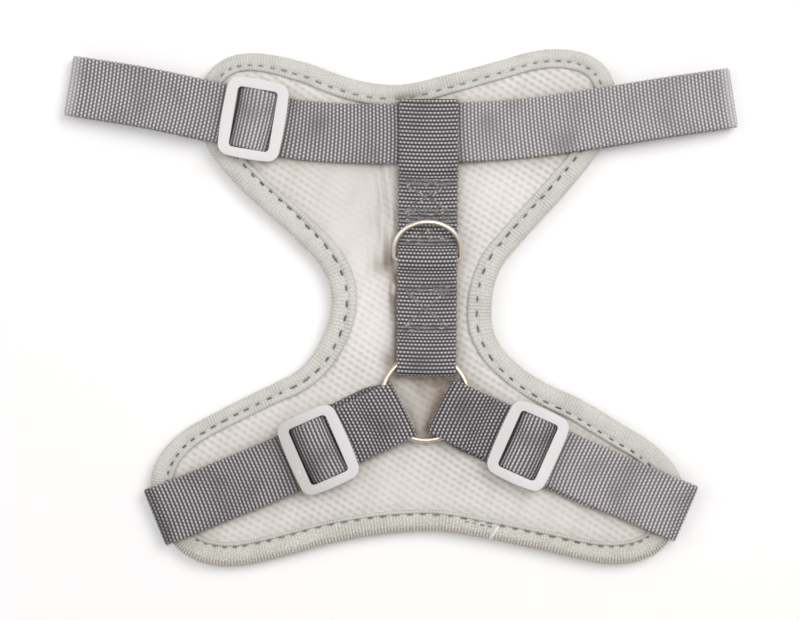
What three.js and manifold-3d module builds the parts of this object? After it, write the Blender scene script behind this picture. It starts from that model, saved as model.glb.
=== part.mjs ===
// No pull dog harness, laid flat: a padded chest panel with a webbing back piece on it.
// Millimetres, +Z up. +X runs along the neck strap and +Y points to the neck.
// The panel lies on its outer face, so its lining and the back piece are on top.

import * as THREE from 'three';
import { mergeVertices } from 'three/addons/utils/BufferGeometryUtils.js';
import Module from 'manifold-3d';

const wasm = await Module();
wasm.setup();

// ---- Driving dimensions ----

const gap = 0.3;            // clearance kept between pieces that touch
const webWidth = 19.8;      // nominal 20 mm webbing
const webThick = 1.0;
const meshThick = 0.6;      // each knitted face of the panel
const foamThick = 2.2;
const tapeThick = 0.6;      // binding tape
const tapeFlange = 8;       // how far the tape reaches in from the panel's edge
const threadThick = 0.2;
const threadWidth = 0.6;
const tapeRound = { across: 1.0, down: 1.2 };   // the tape's rounded outer corners
const foamInset = 1.9;      // the foam stops this far inside the panel's edge
const stitchInset = 5.5;    // binding stitch line, from the panel's edge

// Heights, from the ground up.
const threadRoom = gap + threadThick + gap;
const panelBottom = webThick + threadRoom;
const panelTop = panelBottom + 2 * meshThick + 2 * gap + foamThick;
const layerPitch = webThick + gap;
const firstLayer = panelTop + threadRoom + webThick / 2;
const secondLayer = firstLayer + layerPitch;
const thirdLayer = secondLayer + layerPitch;
const underLayer = webThick / 2;

// Metal rings.
const oRing = { x: 8.1, y: -29.7, radius: 14.2, wire: 1.0 };
const dRing = { halfWidth: 11, depth: 12.9, corner: 1.5, arm: 3.5, wire: 0.85, barY: 16, tilt: 15 };

// Slides (three-bar adjusters).
const slide = {
  across: 26.2,
  along: 20.6,
  thick: 2.6,
  windowAcross: 20.2,
  windowAlong: 13.4,
  cornerRadius: 3.8,
  windowRadius: 1.3,
  bulge: 0.5,
  bevel: 0.5,
  barAlong: 3,
  barThick: 1.4,
  barLift: 0.3,
};

// Back strap.
const backStrap = {
  bottomX: 8.4,
  topX: 9.3,
  topY: 70,
  topBend: 1.3,
  upperBox: [30.7, 43.3],
  lowerBox: [-7.7, 7.2],
  turnedEnd: 47,                // where its end, turned over the neck strap, is sewn down
  turnedEndRamp: 3.2,
  levelOverBar: 0.8,            // level this far each side of the D-ring's bar
  downFromBar: 5,               // and back on its own layer this far from it
  boxHalfWidth: 7.4,
};

// Where straps fold over and where the moving part of each begins.
const neckFoldRadius = 2.8;
const neckMovingFrom = 37;      // distance from each fold of the neck strap
const neckRightMovingFrom = 82;
const girthFoldRadius = 3.3;
const girthMovingFrom = 37;     // distance from the fold of each girth strap
const anchorLength = 40;
const turnedUnder = 8;          // run under the panel that belongs to each turned end
const slideFromRing = { left: 39.5, right: 37.5 };
const girthFoldFromRing = { left: 7.4, right: 5.4 };
const lowerLayerEnd = { left: 40, right: 66 };
const neckSlideX = -49;

const rampLength = 8;           // over which a strap changes layer
const neckSettle = 20;          // the same, from the neck strap's open folds
const ringRamp = 6;             // the same, beside a ring
const beforeFold = 0.8;         // flat stretch kept before an open fold
const bendRoom = 0.1;           // extra room where a strap bends close to another piece
const fineStep = 6;             // longest step along a curved strap

// ---- Materials ----

function finish(color, roughness, metalness = 0) {
  return new THREE.MeshStandardMaterial({ color, roughness, metalness });
}

const webbing = finish(0x85848a, 0.85);
const lining = finish(0xe6e0da, 0.95);
const outerMesh = finish(0xd9d6cf, 0.95);
const foam = finish(0xf0eee6, 1.0);
const bindingTape = finish(0xcdd2c6, 0.9);
const thread = finish(0x87918c, 0.8);
const nickel = finish(0xc9c5bd, 0.25, 1);
const plastic = finish(0xf2f2f4, 0.4);

// ---- Geometry helpers ----

// Welds a geometry by position and turns its faces outwards.
function closedBody(geometry) {
  geometry.deleteAttribute('normal');
  geometry.deleteAttribute('uv');
  const body = mergeVertices(geometry, 1e-4);
  if (signedVolume(body) < 0) {
    body.index.array.reverse();
  }
  body.computeVertexNormals();
  return body;
}

function signedVolume(body) {
  const position = body.attributes.position;
  const corner = [new THREE.Vector3(), new THREE.Vector3(), new THREE.Vector3()];
  let volume = 0;
  for (let i = 0; i < body.index.count; i += 3) {
    corner.forEach((point, k) => point.fromBufferAttribute(position, body.index.getX(i + k)));
    volume += corner[0].dot(corner[1].clone().cross(corner[2])) / 6;
  }
  return volume;
}

function toManifold(geometry) {
  const body = closedBody(geometry);
  return new wasm.Manifold(new wasm.Mesh({
    numProp: 3,
    vertProperties: new Float32Array(body.attributes.position.array),
    triVerts: new Uint32Array(body.index.array),
  }));
}

function fromManifold(solid) {
  const mesh = solid.getMesh();
  const geometry = new THREE.BufferGeometry();
  geometry.setAttribute('position', new THREE.BufferAttribute(mesh.vertProperties, 3));
  geometry.setIndex(new THREE.BufferAttribute(mesh.triVerts, 1));
  geometry.computeVertexNormals();
  return geometry;
}

// A strap's route seen from above: a smooth curve measured by distance from its start.
function planRoute(points) {
  const curve = new THREE.CatmullRomCurve3(points.map(([x, y]) => new THREE.Vector3(x, y, 0)));
  curve.arcLengthDivisions = 400;
  const length = curve.getLength();
  function at(distance) {
    const u = THREE.MathUtils.clamp(distance / length, 0, 1);
    const tangent = curve.getTangentAt(u);
    const point = curve.getPointAt(u).addScaledVector(tangent, distance - u * length);
    return { point, tangent, across: new THREE.Vector3(-tangent.y, tangent.x, 0) };
  }
  return { length, at };
}

// Side view of a strap: the centre line is [distance, height] pairs, thickened both ways.
function thicken(centre, thickness) {
  const points = centre.map(([s, z]) => new THREE.Vector2(s, z));
  const side = (sign) => points.map((point, i) => {
    const before = points[Math.max(i - 1, 0)];
    const after = points[Math.min(i + 1, points.length - 1)];
    const incoming = point.clone().sub(before).normalize();
    const outgoing = after.clone().sub(point).normalize();
    const direction = incoming.clone().add(outgoing).normalize();
    const miter = Math.max(direction.dot(i > 0 ? incoming : outgoing), 0.5);
    const normal = new THREE.Vector2(-direction.y, direction.x);
    return point.clone().addScaledVector(normal, sign * thickness / 2 / miter);
  });
  return new THREE.Shape([...side(1), ...side(-1).reverse()]);
}

// A side view given the strap's width.
function widen(shape) {
  return new THREE.ExtrudeGeometry(shape, { depth: webWidth, steps: 1, bevelEnabled: false });
}

// Webbing: the side view is given its width, then laid along its route.
function strap(route, centre) {
  return closedBody(layAlong(widen(thicken(centre, webThick)), route));
}

function layAlong(geometry, route) {
  const position = geometry.attributes.position;
  for (let i = 0; i < position.count; i += 1) {
    const { point, across } = route.at(position.getX(i));
    const side = position.getZ(i) - webWidth / 2;
    const height = position.getY(i);
    position.setXYZ(i, point.x + across.x * side, point.y + across.y * side, height);
  }
  return geometry;
}

// A straight stretch of centre line, in steps short enough to follow a curved route.
function run(fromS, fromZ, toS, toZ, step = fineStep) {
  const count = Math.max(1, Math.ceil(Math.abs(toS - fromS) / step));
  const points = [];
  for (let i = 0; i <= count; i += 1) {
    const t = i / count;
    points.push([fromS + (toS - fromS) * t, fromZ + (toZ - fromZ) * t]);
  }
  return points;
}

// A ramp with soft ends between two heights.
function ramp(fromS, fromZ, toS, toZ, count = 6) {
  const points = [];
  for (let i = 1; i < count; i += 1) {
    const t = i / count;
    const rise = t * t * (3 - 2 * t);
    points.push([fromS + (toS - fromS) * t, fromZ + (toZ - fromZ) * rise]);
  }
  return points;
}

// A round fold: half a circle between two layers, bulging the way sign points along s.
function fold(centreS, lowZ, highZ, sign, upwards, count = 8) {
  const radius = (highZ - lowZ) / 2;
  const middle = (highZ + lowZ) / 2;
  const points = [];
  for (let i = 0; i <= count; i += 1) {
    const angle = -Math.PI / 2 + Math.PI * i / count;
    points.push([centreS + sign * radius * Math.cos(angle), middle + radius * Math.sin(angle)]);
  }
  return upwards ? points : points.reverse();
}

// Carries a closed section all the way round a closed plan loop.
// The section is [inset from the loop, height] pairs, and its last point repeats its first.
function loopSweep(loop, section) {
  const reach = 100;
  const profile = section.map(([inset, z]) => new THREE.Vector2(reach + inset, z));
  const geometry = new THREE.LatheGeometry(profile, loop.length);
  const position = geometry.attributes.position;
  for (let i = 0; i < position.count; i += 1) {
    const { point, inward } = loop[Math.floor(i / section.length) % loop.length];
    const [inset, z] = section[i % section.length];
    position.setXYZ(i, point.x + inward.x * inset, point.y + inward.y * inset, z);
  }
  return closedBody(geometry);
}

// Gives each point of an anticlockwise loop the direction that points inside it.
function withInward(points) {
  const count = points.length;
  return points.map((point, i) => {
    const before = points[(i + count - 1) % count];
    const after = points[(i + 1) % count];
    const along = new THREE.Vector2(after.x - before.x, after.y - before.y).normalize();
    return { point, inward: new THREE.Vector2(-along.y, along.x) };
  });
}

function circleSection(radius, sides) {
  const points = [];
  for (let i = 0; i <= sides; i += 1) {
    const angle = 2 * Math.PI * (i % sides) / sides;
    points.push([radius * Math.cos(angle), radius * Math.sin(angle)]);
  }
  return points;
}

function flatSection(fromInset, toInset, fromZ, toZ) {
  return [[fromInset, fromZ], [toInset, fromZ], [toInset, toZ], [fromInset, toZ], [fromInset, fromZ]];
}

// ---- The group, and one call for each named piece ----

const harness = new THREE.Group();

function addPiece(name, geometry, material, parent = harness) {
  const mesh = new THREE.Mesh(geometry, material);
  mesh.name = name;
  parent.add(mesh);
  return mesh;
}

// ---- Chest panel ----

// The panel's edge, anticlockwise from the dip under the neck: a shoulder each side,
// a narrow waist, two girth corners, and a shallow arch between them.
const panelEdge = [
  [-1, 74.6], [-16, 76.5], [-33, 82.3], [-50.3, 85.2], [-60.6, 82.4], [-66.6, 74.5],
  [-67.6, 64.5], [-64.6, 53.5], [-53.7, 40], [-36.5, 24.3], [-26, 12.8], [-23, 2.7],
  [-25.6, -8.5], [-33, -19.7], [-47, -27.3], [-60.3, -34], [-74.3, -42.3], [-82, -51.7],
  [-83.7, -60.7], [-79.9, -70.4], [-75.3, -79.7], [-67, -85], [-55.3, -86.3], [-40.3, -83.3],
  [-20.3, -78], [-0.3, -75], [13, -74.7], [31.3, -77.7], [49.7, -81.7], [66.3, -85.3],
  [78, -85], [86.4, -81.2], [90.7, -75.5], [93.3, -68.3], [94.6, -61], [92.7, -54.7],
  [84.7, -45.7], [73, -38.3], [59.7, -30.3], [46.3, -24], [36.3, -16.3], [31.3, -9],
  [30.3, 1], [33, 12.7], [41.3, 23.3], [55.5, 39], [66.3, 52.7], [71.3, 64.3],
  [71.4, 75], [66.3, 82.6], [58, 86], [46.3, 86.2], [33, 82.7], [16.3, 78.3],
];
const edgeSteps = 100;

function panelLoop() {
  const points = panelEdge.map(([x, y]) => new THREE.Vector3(x, y, 0));
  const curve = new THREE.CatmullRomCurve3(points, true, 'centripetal');
  curve.arcLengthDivisions = 1000;
  return withInward(curve.getSpacedPoints(edgeSteps).slice(0, edgeSteps));
}

const edge = panelLoop();

// A flat sheet of the panel's shape, cut back from its edge.
function panelSheet(inset, bottom, top) {
  const points = edge.map(({ point, inward }) => (
    new THREE.Vector2(point.x + inward.x * inset, point.y + inward.y * inset)
  ));
  const geometry = new THREE.ExtrudeGeometry(new THREE.Shape(points), {
    depth: top - bottom,
    steps: 1,
    bevelEnabled: false,
  });
  geometry.translate(0, 0, bottom);
  return closedBody(geometry);
}

// Tape folded round the panel's edge, with a rounded outer side.
function bindingSection() {
  const low = panelBottom;
  const high = panelTop;
  const { across, down } = tapeRound;
  const innerAcross = across + tapeThick / 2;
  const innerDown = down + tapeThick / 2;
  const outside = [
    [tapeFlange, high], [across, high], [0, high - down],
    [0, low + down], [across, low], [tapeFlange, low],
  ];
  const inside = [
    [tapeFlange, low + tapeThick], [innerAcross, low + tapeThick], [tapeThick, low + innerDown],
    [tapeThick, high - innerDown], [innerAcross, high - tapeThick], [tapeFlange, high - tapeThick],
  ];
  return [...outside, ...inside, outside[0]];
}

function addPanel() {
  const faceInset = tapeFlange + gap;
  const foamBottom = panelBottom + meshThick + gap;
  addPiece('foam_core', panelSheet(foamInset, foamBottom, foamBottom + foamThick), foam);
  addPiece('outer_mesh_face', panelSheet(faceInset, panelBottom, panelBottom + meshThick), outerMesh);
  addPiece('inner_mesh_face', panelSheet(faceInset, panelTop - meshThick, panelTop), lining);
  addPiece('edge_binding', loopSweep(edge, bindingSection()), bindingTape);
  const nearEdge = stitchInset - threadWidth / 2;
  const farEdge = stitchInset + threadWidth / 2;
  const overTape = panelTop + gap;
  const underTape = panelBottom - gap - threadThick;
  addPiece('binding_stitch_inner',
    loopSweep(edge, flatSection(nearEdge, farEdge, overTape, overTape + threadThick)), thread);
  addPiece('binding_stitch_outer',
    loopSweep(edge, flatSection(nearEdge, farEdge, underTape, underTape + threadThick)), thread);
}

// ---- Neck strap ----

const neckRoute = planRoute([
  [-111.3, 74.5], [-84.5, 70.1], [-65.7, 66.1], [-49, 62.6], [-36, 59.7], [-17, 58.2],
  [10, 58.1], [42, 60], [66, 63.4], [86, 66.6], [111.3, 70.4],
]);

// Distance along the neck strap at which it passes a given X.
function neckDistance(x) {
  let low = 0;
  let high = neckRoute.length;
  for (let i = 0; i < 40; i += 1) {
    const middle = (low + high) / 2;
    if (neckRoute.at(middle).point.x < x) {
      low = middle;
    } else {
      high = middle;
    }
  }
  return low;
}

// The turned end at one side: under the panel, round the open fold and back on top.
function neckTurn(foldS, sign, topEnd, underEnd) {
  const foldTop = underLayer + 2 * neckFoldRadius;
  const reach = neckFoldRadius + webThick / 2;
  const bendS = foldS - sign * reach;
  const settle = bendS - sign * neckSettle;
  return [
    ...run(underEnd, underLayer, bendS - sign * beforeFold, underLayer),
    ...fold(bendS, underLayer, foldTop, sign, true),
    ...ramp(bendS, foldTop, settle, firstLayer),
    ...run(settle, firstLayer, topEnd, firstLayer),
  ];
}

function addNeckStrap() {
  const length = neckRoute.length;
  const leftTop = neckMovingFrom;
  const rightTop = length - neckRightMovingFrom;
  const leftUnder = neckMovingFrom + turnedUnder;
  const rightUnder = length - neckMovingFrom - turnedUnder;
  addPiece('neck_strap_left', strap(neckRoute, neckTurn(0, -1, leftTop, leftUnder)), webbing);
  addPiece('neck_strap_right', strap(neckRoute, neckTurn(length, 1, rightTop, rightUnder)), webbing);
  addPiece('neck_band', strap(neckRoute,
    run(leftUnder + gap, underLayer, rightUnder - gap, underLayer)), webbing);
  const riseFrom = neckDistance(-15);
  const riseTo = neckDistance(-4);
  const fallFrom = neckDistance(22);
  const fallTo = rightTop - gap;
  addPiece('neck_strap_middle', strap(neckRoute, [
    ...run(leftTop + gap, firstLayer, riseFrom, firstLayer),
    ...ramp(riseFrom, firstLayer, riseTo, secondLayer),
    ...run(riseTo, secondLayer, fallFrom, secondLayer),
    ...ramp(fallFrom, secondLayer, fallTo, firstLayer),
    [fallTo, firstLayer],
  ]), webbing);
}

// ---- Rings ----

const oRingHeight = firstLayer + webThick / 2 + gap + oRing.wire;
const overRing = oRingHeight + oRing.wire + gap + webThick / 2;
const dBarHeight = firstLayer + webThick / 2 + gap + dRing.wire;

// How near the ring's centre a strap's fold comes when the strap lies sideShift off centre:
// the strap's edge has to pass inside the curving wire.
function foldReach(sideShift = 0) {
  const edgeSide = webWidth / 2 + Math.abs(sideShift);
  const wireInside = oRing.radius - oRing.wire;
  return Math.sqrt(wireInside ** 2 - edgeSide ** 2) - gap - webThick;
}

// Round the ring: in along the top, down through the ring and out again underneath.
const ringTurnReach = (overRing - firstLayer) / 2 + webThick / 2;

function ringTurn(foldS) {
  return fold(foldS + ringTurnReach, firstLayer, overRing, -1, false);
}

function addRings() {
  const torus = new THREE.TorusGeometry(oRing.radius, oRing.wire, 8, 48);
  addPiece('o_ring', closedBody(torus), nickel).position.set(oRing.x, oRing.y, oRingHeight);

  const inner = dRing.halfWidth - dRing.corner;
  const outline = new THREE.Path();
  outline.moveTo(-inner, 0);
  outline.lineTo(inner, 0);
  outline.absarc(inner, dRing.corner, dRing.corner, -Math.PI / 2, 0);
  outline.absellipse(0, dRing.arm, dRing.halfWidth, dRing.depth - dRing.arm, 0, Math.PI);
  outline.absarc(-inner, dRing.corner, dRing.corner, Math.PI, 1.5 * Math.PI);
  const steps = 60;
  const loop = withInward(outline.getSpacedPoints(steps).slice(0, steps));
  const ring = addPiece('d_ring', loopSweep(loop, circleSection(dRing.wire, 8)), nickel);
  const bar = backRoute.at(dRing.barY - backBottom);
  ring.position.set(bar.point.x, bar.point.y, dBarHeight);
  ring.rotation.set(THREE.MathUtils.degToRad(dRing.tilt), 0, backTurn, 'ZXY');
}

// ---- Back strap ----

const backBottom = oRing.y + foldReach(backStrap.bottomX - oRing.x);
const backRoute = planRoute([[backStrap.bottomX, backBottom], [backStrap.topX, backStrap.topY]]);
const backTurn = -Math.atan2(backStrap.topX - backStrap.bottomX, backStrap.topY - backBottom);

// One closed loop of webbing: folded round the O-ring below and round the neck strap above,
// with the D-ring's bar held between its two layers.
function backLoop(outside) {
  const shift = -backBottom;
  const offset = outside ? webThick / 2 : -webThick / 2;
  const at = (y) => y + shift;
  const ringBendAt = ringTurnReach;
  const topBendAt = at(backStrap.topY) - webThick / 2 - backStrap.topBend;
  const turnedEnd = at(backStrap.turnedEnd);
  const beforeRamp = turnedEnd - backStrap.turnedEndRamp;
  const straight = 200;         // longer than any straight run of this strap
  const ring = at(oRing.y + oRing.radius);
  const clearOfWire = ring + oRing.wire + 2 * gap;
  const bar = at(dRing.barY);
  const { levelOverBar, downFromBar } = backStrap;
  const overBar = dBarHeight + dRing.wire + gap + bendRoom / 2 + webThick / 2;
  const centre = [
    ...run(ringBendAt, firstLayer, topBendAt, firstLayer, straight),
    ...fold(topBendAt, firstLayer, thirdLayer, 1, true).slice(1, -1),
    ...run(topBendAt, thirdLayer, turnedEnd, thirdLayer, straight),
    ...ramp(turnedEnd, thirdLayer, beforeRamp, secondLayer),
    ...run(beforeRamp, secondLayer, bar + downFromBar, secondLayer, straight),
    ...ramp(bar + downFromBar, secondLayer, bar + levelOverBar, overBar),
    [bar + levelOverBar, overBar],
    [bar - levelOverBar, overBar],
    ...ramp(bar - levelOverBar, overBar, bar - downFromBar, secondLayer),
    ...run(bar - downFromBar, secondLayer, clearOfWire + ringRamp, secondLayer, straight),
    ...ramp(clearOfWire + ringRamp, secondLayer, clearOfWire, overRing),
    ...run(clearOfWire, overRing, ringBendAt, overRing, straight),
    ...fold(ringBendAt, firstLayer, overRing, -1, false).slice(1, -1),
  ];
  const count = centre.length;
  return centre.map(([s, z], i) => {
    const [beforeS, beforeZ] = centre[(i + count - 1) % count];
    const [afterS, afterZ] = centre[(i + 1) % count];
    const incoming = new THREE.Vector2(s - beforeS, z - beforeZ).normalize();
    const outgoing = new THREE.Vector2(afterS - s, afterZ - z).normalize();
    const direction = incoming.clone().add(outgoing).normalize();
    const away = offset / Math.max(direction.dot(incoming), 0.5);
    return new THREE.Vector2(s + direction.y * away, z - direction.x * away);
  });
}

// A sewn box with a cross in it, as one thin frame of thread.
function boxStitch([fromY, toY], height) {
  const half = backStrap.boxHalfWidth;
  const line = threadWidth / 2;
  const halfLong = (toY - fromY) / 2;
  const shape = new THREE.Shape([
    new THREE.Vector2(-half - line, -halfLong - line),
    new THREE.Vector2(half + line, -halfLong - line),
    new THREE.Vector2(half + line, halfLong + line),
    new THREE.Vector2(-half - line, halfLong + line),
  ]);
  const diagonal = Math.hypot(half, halfLong);
  const innerX = half - line;
  const innerY = halfLong - line;
  const tipY = line * diagonal / half;
  const tipX = line * diagonal / halfLong;
  for (const sign of [-1, 1]) {
    const baseX = innerY - tipY;
    const sideY = innerX - tipX;
    shape.holes.push(new THREE.Path([
      new THREE.Vector2(0, sign * tipY),
      new THREE.Vector2(-baseX * half / halfLong, sign * innerY),
      new THREE.Vector2(baseX * half / halfLong, sign * innerY),
    ]));
    shape.holes.push(new THREE.Path([
      new THREE.Vector2(sign * tipX, 0),
      new THREE.Vector2(sign * innerX, -sideY * halfLong / half),
      new THREE.Vector2(sign * innerX, sideY * halfLong / half),
    ]));
  }
  const geometry = new THREE.ExtrudeGeometry(shape, { depth: threadThick, bevelEnabled: false });
  const { point } = backRoute.at((fromY + toY) / 2 - backBottom);
  geometry.rotateZ(backTurn);
  geometry.translate(point.x, point.y, height);
  return closedBody(geometry);
}

function addBackStrap() {
  const shape = new THREE.Shape(backLoop(true));
  shape.holes.push(new THREE.Path(backLoop(false)));
  addPiece('back_strap', closedBody(layAlong(widen(shape), backRoute)), webbing);
  const overStrap = secondLayer + webThick / 2 + gap;
  addPiece('back_stitch_upper', boxStitch(backStrap.upperBox, overStrap), thread);
  addPiece('back_stitch_lower', boxStitch(backStrap.lowerBox, overStrap), thread);
}

// ---- Girth straps, each measured outwards from the O-ring's centre ----

const girthRoutes = {
  left: planRoute([
    [oRing.x, oRing.y], [-17.2, -42.2], [-37.5, -51.6], [-60, -61.1], [-82.4, -70.2],
  ]),
  right: planRoute([
    [oRing.x, oRing.y], [20.5, -35.8], [42.3, -45.7], [68, -57], [95.6, -69],
  ]),
};

function addGirthStrap(side) {
  const route = girthRoutes[side];
  const end = route.length;
  const movingFrom = end - girthMovingFrom;
  const bendS = end - girthFoldRadius - webThick / 2;
  const underEnd = bendS - turnedUnder;
  const ringS = girthFoldFromRing[side];
  const afterTurn = ringS + ringTurnReach + bendRoom;
  const clearOfRing = oRing.radius + oRing.wire + 2 * gap;
  const lowerEnd = lowerLayerEnd[side];
  const descendTo = Math.max(lowerEnd, movingFrom) + 1;

  addPiece(`${side}_girth_loop`, strap(route, [
    ...run(movingFrom - gap, secondLayer, clearOfRing + ringRamp, secondLayer),
    ...ramp(clearOfRing + ringRamp, secondLayer, clearOfRing, overRing),
    ...run(clearOfRing, overRing, afterTurn, overRing),
    ...ringTurn(ringS),
    ...run(afterTurn, firstLayer, lowerEnd, firstLayer),
  ]), webbing);

  const topOfFold = underLayer + 2 * girthFoldRadius;
  addPiece(`${side}_girth_run`, strap(route, [
    ...run(underEnd, underLayer, bendS - beforeFold, underLayer),
    ...fold(bendS, underLayer, topOfFold, 1, true),
    ...run(bendS - 1, topOfFold, descendTo + rampLength, topOfFold),
    ...ramp(descendTo + rampLength, topOfFold, descendTo, secondLayer),
    ...run(descendTo, secondLayer, movingFrom, secondLayer),
  ]), webbing);

  addPiece(`${side}_girth_anchor`, strap(route,
    run(underEnd - gap, underLayer, underEnd - gap - anchorLength, underLayer)), webbing);
}

// ---- Slides ----

function slideOutline(alongSize, acrossSize, radius, bulge) {
  const x = alongSize / 2;
  const y = acrossSize / 2;
  const shape = new THREE.Shape();
  shape.moveTo(-x + radius, -y);
  shape.quadraticCurveTo(0, -y - bulge, x - radius, -y);
  shape.absarc(x - radius, -y + radius, radius, -Math.PI / 2, 0);
  shape.quadraticCurveTo(x + bulge, 0, x, y - radius);
  shape.absarc(x - radius, y - radius, radius, 0, Math.PI / 2);
  shape.quadraticCurveTo(0, y + bulge, -x + radius, y);
  shape.absarc(-x + radius, y - radius, radius, Math.PI / 2, Math.PI);
  shape.quadraticCurveTo(-x - bulge, 0, -x, -y + radius);
  shape.absarc(-x + radius, -y + radius, radius, Math.PI, 1.5 * Math.PI);
  return shape;
}

// A moulded frame with one bar across its window.
function slideFrame() {
  const bevel = slide.bevel;
  const shape = slideOutline(slide.along - 2 * bevel, slide.across - 2 * bevel,
    slide.cornerRadius - bevel, slide.bulge);
  shape.holes.push(slideOutline(slide.windowAlong + 2 * bevel, slide.windowAcross + 2 * bevel,
    slide.windowRadius, 0));
  const frame = new THREE.ExtrudeGeometry(shape, {
    depth: slide.thick - 2 * bevel,
    bevelThickness: bevel,
    bevelSize: bevel,
    bevelSegments: 1,
    curveSegments: 4,
  });
  frame.translate(0, 0, bevel);
  const barIntoFrame = 1;
  const barAcross = slide.windowAcross + 2 * barIntoFrame;
  const bar = new THREE.BoxGeometry(slide.barAlong, barAcross, slide.barThick);
  bar.translate(0, 0, slide.barLift + slide.barThick / 2);
  return fromManifold(toManifold(frame).add(toManifold(bar)));
}

// The webbing that rises through the window and passes over the bar. Each point of one half
// is [distance from the bar's middle, height], from its outer end to its crown.
function webOverBar() {
  const barTop = slide.barLift + slide.barThick;
  const crown = barTop + gap + webThick / 2;
  const barHalf = slide.barAlong / 2;
  const reach = slide.windowAlong / 2 - gap - bendRoom;
  const low = webThick / 2;
  const half = [
    [reach, low], [reach - 0.9, low + 0.1], [reach - 2, low + 0.75],
    [barHalf + 1.4, crown - 0.55], [barHalf + 0.3, crown + 0.02], [barHalf - 0.7, crown + 0.2],
  ];
  const centre = [...half.map(([s, z]) => [-s, z]), ...half.slice().reverse()];
  const geometry = widen(thicken(centre, webThick));
  geometry.translate(0, 0, -webWidth / 2);
  geometry.rotateX(Math.PI / 2);
  return closedBody(geometry);
}

// Places a slide at a distance along its strap, on the layer it grips.
function addSlide(name, route, distance, layer) {
  const { point, tangent } = route.at(distance);
  const group = new THREE.Group();
  group.position.set(point.x, point.y, layer + webThick / 2 + gap);
  group.rotation.z = Math.atan2(tangent.y, tangent.x);
  addPiece(`${name}_slide`, slideFrame(), plastic, group);
  addPiece(`${name}_web_over_bar`, webOverBar(), webbing, group);
  harness.add(group);
}

// ---- Assembly ----

addPanel();
addNeckStrap();
addBackStrap();
addRings();
addGirthStrap('left');
addGirthStrap('right');
addSlide('neck', neckRoute, neckDistance(neckSlideX), firstLayer);
addSlide('left_girth', girthRoutes.left, slideFromRing.left, secondLayer);
addSlide('right_girth', girthRoutes.right, slideFromRing.right, secondLayer);

// The origin is at the middle of the underside.
const box = new THREE.Box3().setFromObject(harness);
harness.position.set(-(box.min.x + box.max.x) / 2, -(box.min.y + box.max.y) / 2, -box.min.z);

export default harness;
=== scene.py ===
"""The looks of a no pull dog harness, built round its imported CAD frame.

The harness lies flat on its chest panel's outer face, seen from straight above.
Every piece is worked out in millimetres in the frame's axes and stored in metres.
"""

import math

import bpy
import numpy as np
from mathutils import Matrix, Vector
from mathutils.kdtree import KDTree


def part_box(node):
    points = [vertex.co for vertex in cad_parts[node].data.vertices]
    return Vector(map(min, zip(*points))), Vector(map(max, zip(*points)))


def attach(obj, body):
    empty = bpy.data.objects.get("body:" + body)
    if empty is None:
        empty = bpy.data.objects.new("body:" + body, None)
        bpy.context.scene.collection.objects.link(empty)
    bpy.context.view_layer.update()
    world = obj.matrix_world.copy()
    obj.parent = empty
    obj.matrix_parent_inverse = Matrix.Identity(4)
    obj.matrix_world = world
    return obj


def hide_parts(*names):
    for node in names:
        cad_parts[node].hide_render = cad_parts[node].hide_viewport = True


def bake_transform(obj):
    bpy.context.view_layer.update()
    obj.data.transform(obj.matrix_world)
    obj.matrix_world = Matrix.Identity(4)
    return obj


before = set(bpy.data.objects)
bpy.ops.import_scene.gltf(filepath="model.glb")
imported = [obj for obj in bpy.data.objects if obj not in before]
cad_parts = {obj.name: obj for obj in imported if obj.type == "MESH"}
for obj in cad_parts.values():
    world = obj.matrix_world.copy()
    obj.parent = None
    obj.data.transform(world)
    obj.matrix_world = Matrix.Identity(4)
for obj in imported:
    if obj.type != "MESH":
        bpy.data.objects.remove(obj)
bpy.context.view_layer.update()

MM = 0.001
TURN = 2 * math.pi


def node_box(node):
    """Lowest and highest corner of a CAD node, in millimetres."""
    low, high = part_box(node)
    return np.array(low) / MM, np.array(high) / MM


def node_middle(node):
    low, high = node_box(node)
    return (low + high) / 2


# ---- Driving dimensions, in millimetres ----

WEB_WIDTH = 19.8
WEB_HALF_THICK = 0.40           # body of the webbing, without its ribs
HALF_WEB = 0.5                  # half the webbing's thickness, with its ribs
SELVEDGE = 1.2                  # how far in from its edge the webbing thins
SCALLOP = 0.021                 # how much of its half width the edge dips between ribs
WEB_BOW = 0.3                   # how far the ribs bow along the strap
RIB_PITCH = 1.25
DOT_PITCH = WEB_WIDTH / 16
ROWS_PER_RIB = 4
WEB_COLUMNS = 64
LAYER_PITCH = 1.3               # webbing and the gap to the next layer
CLEAR = 0.3                     # room between webbing and a ring's wire
SIDES = ("left", "right")

PANEL_BOTTOM = node_box("edge_binding")[0][2]
PANEL_TOP = node_box("edge_binding")[1][2]
UNDER_LAYER = node_middle("neck_band")[2]
FIRST_LAYER = node_box("back_strap")[0][2] + HALF_WEB
SECOND_LAYER = FIRST_LAYER + LAYER_PITCH
THIRD_LAYER = SECOND_LAYER + LAYER_PITCH

O_RING = {"centre": node_middle("o_ring"), "radius": 14.2, "wire": 1.0}
OVER_RING = O_RING["centre"][2] + O_RING["wire"] + CLEAR + HALF_WEB
PAST_RING = O_RING["radius"] + O_RING["wire"] + 2 * CLEAR    # where a strap is clear of the wire
D_RING = {"half_width": 11, "depth": 12.9, "corner": 1.5, "arm": 3.5, "wire": 0.85, "tilt": 15}
RING_IN_PLAN = (8.1, -29.7)
PLAN_ORIGIN = O_RING["centre"][:2] - np.array(RING_IN_PLAN)  # where the plan's own zero lies
BACK_X = 9.2                    # where the neck strap passes under the back strap
LEASH_BAR_Y = 16

SLIDE = {
    "along": 20.6, "across": 26.2, "thick": 2.6, "window_along": 13.4, "window_across": 20.2,
    "corner": 3.8, "window_corner": 1.3, "bulge": 0.6, "edge": 0.5,
    "bar_along": 3, "bar_thick": 1.4, "bar_lift": 0.3,
}

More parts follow.
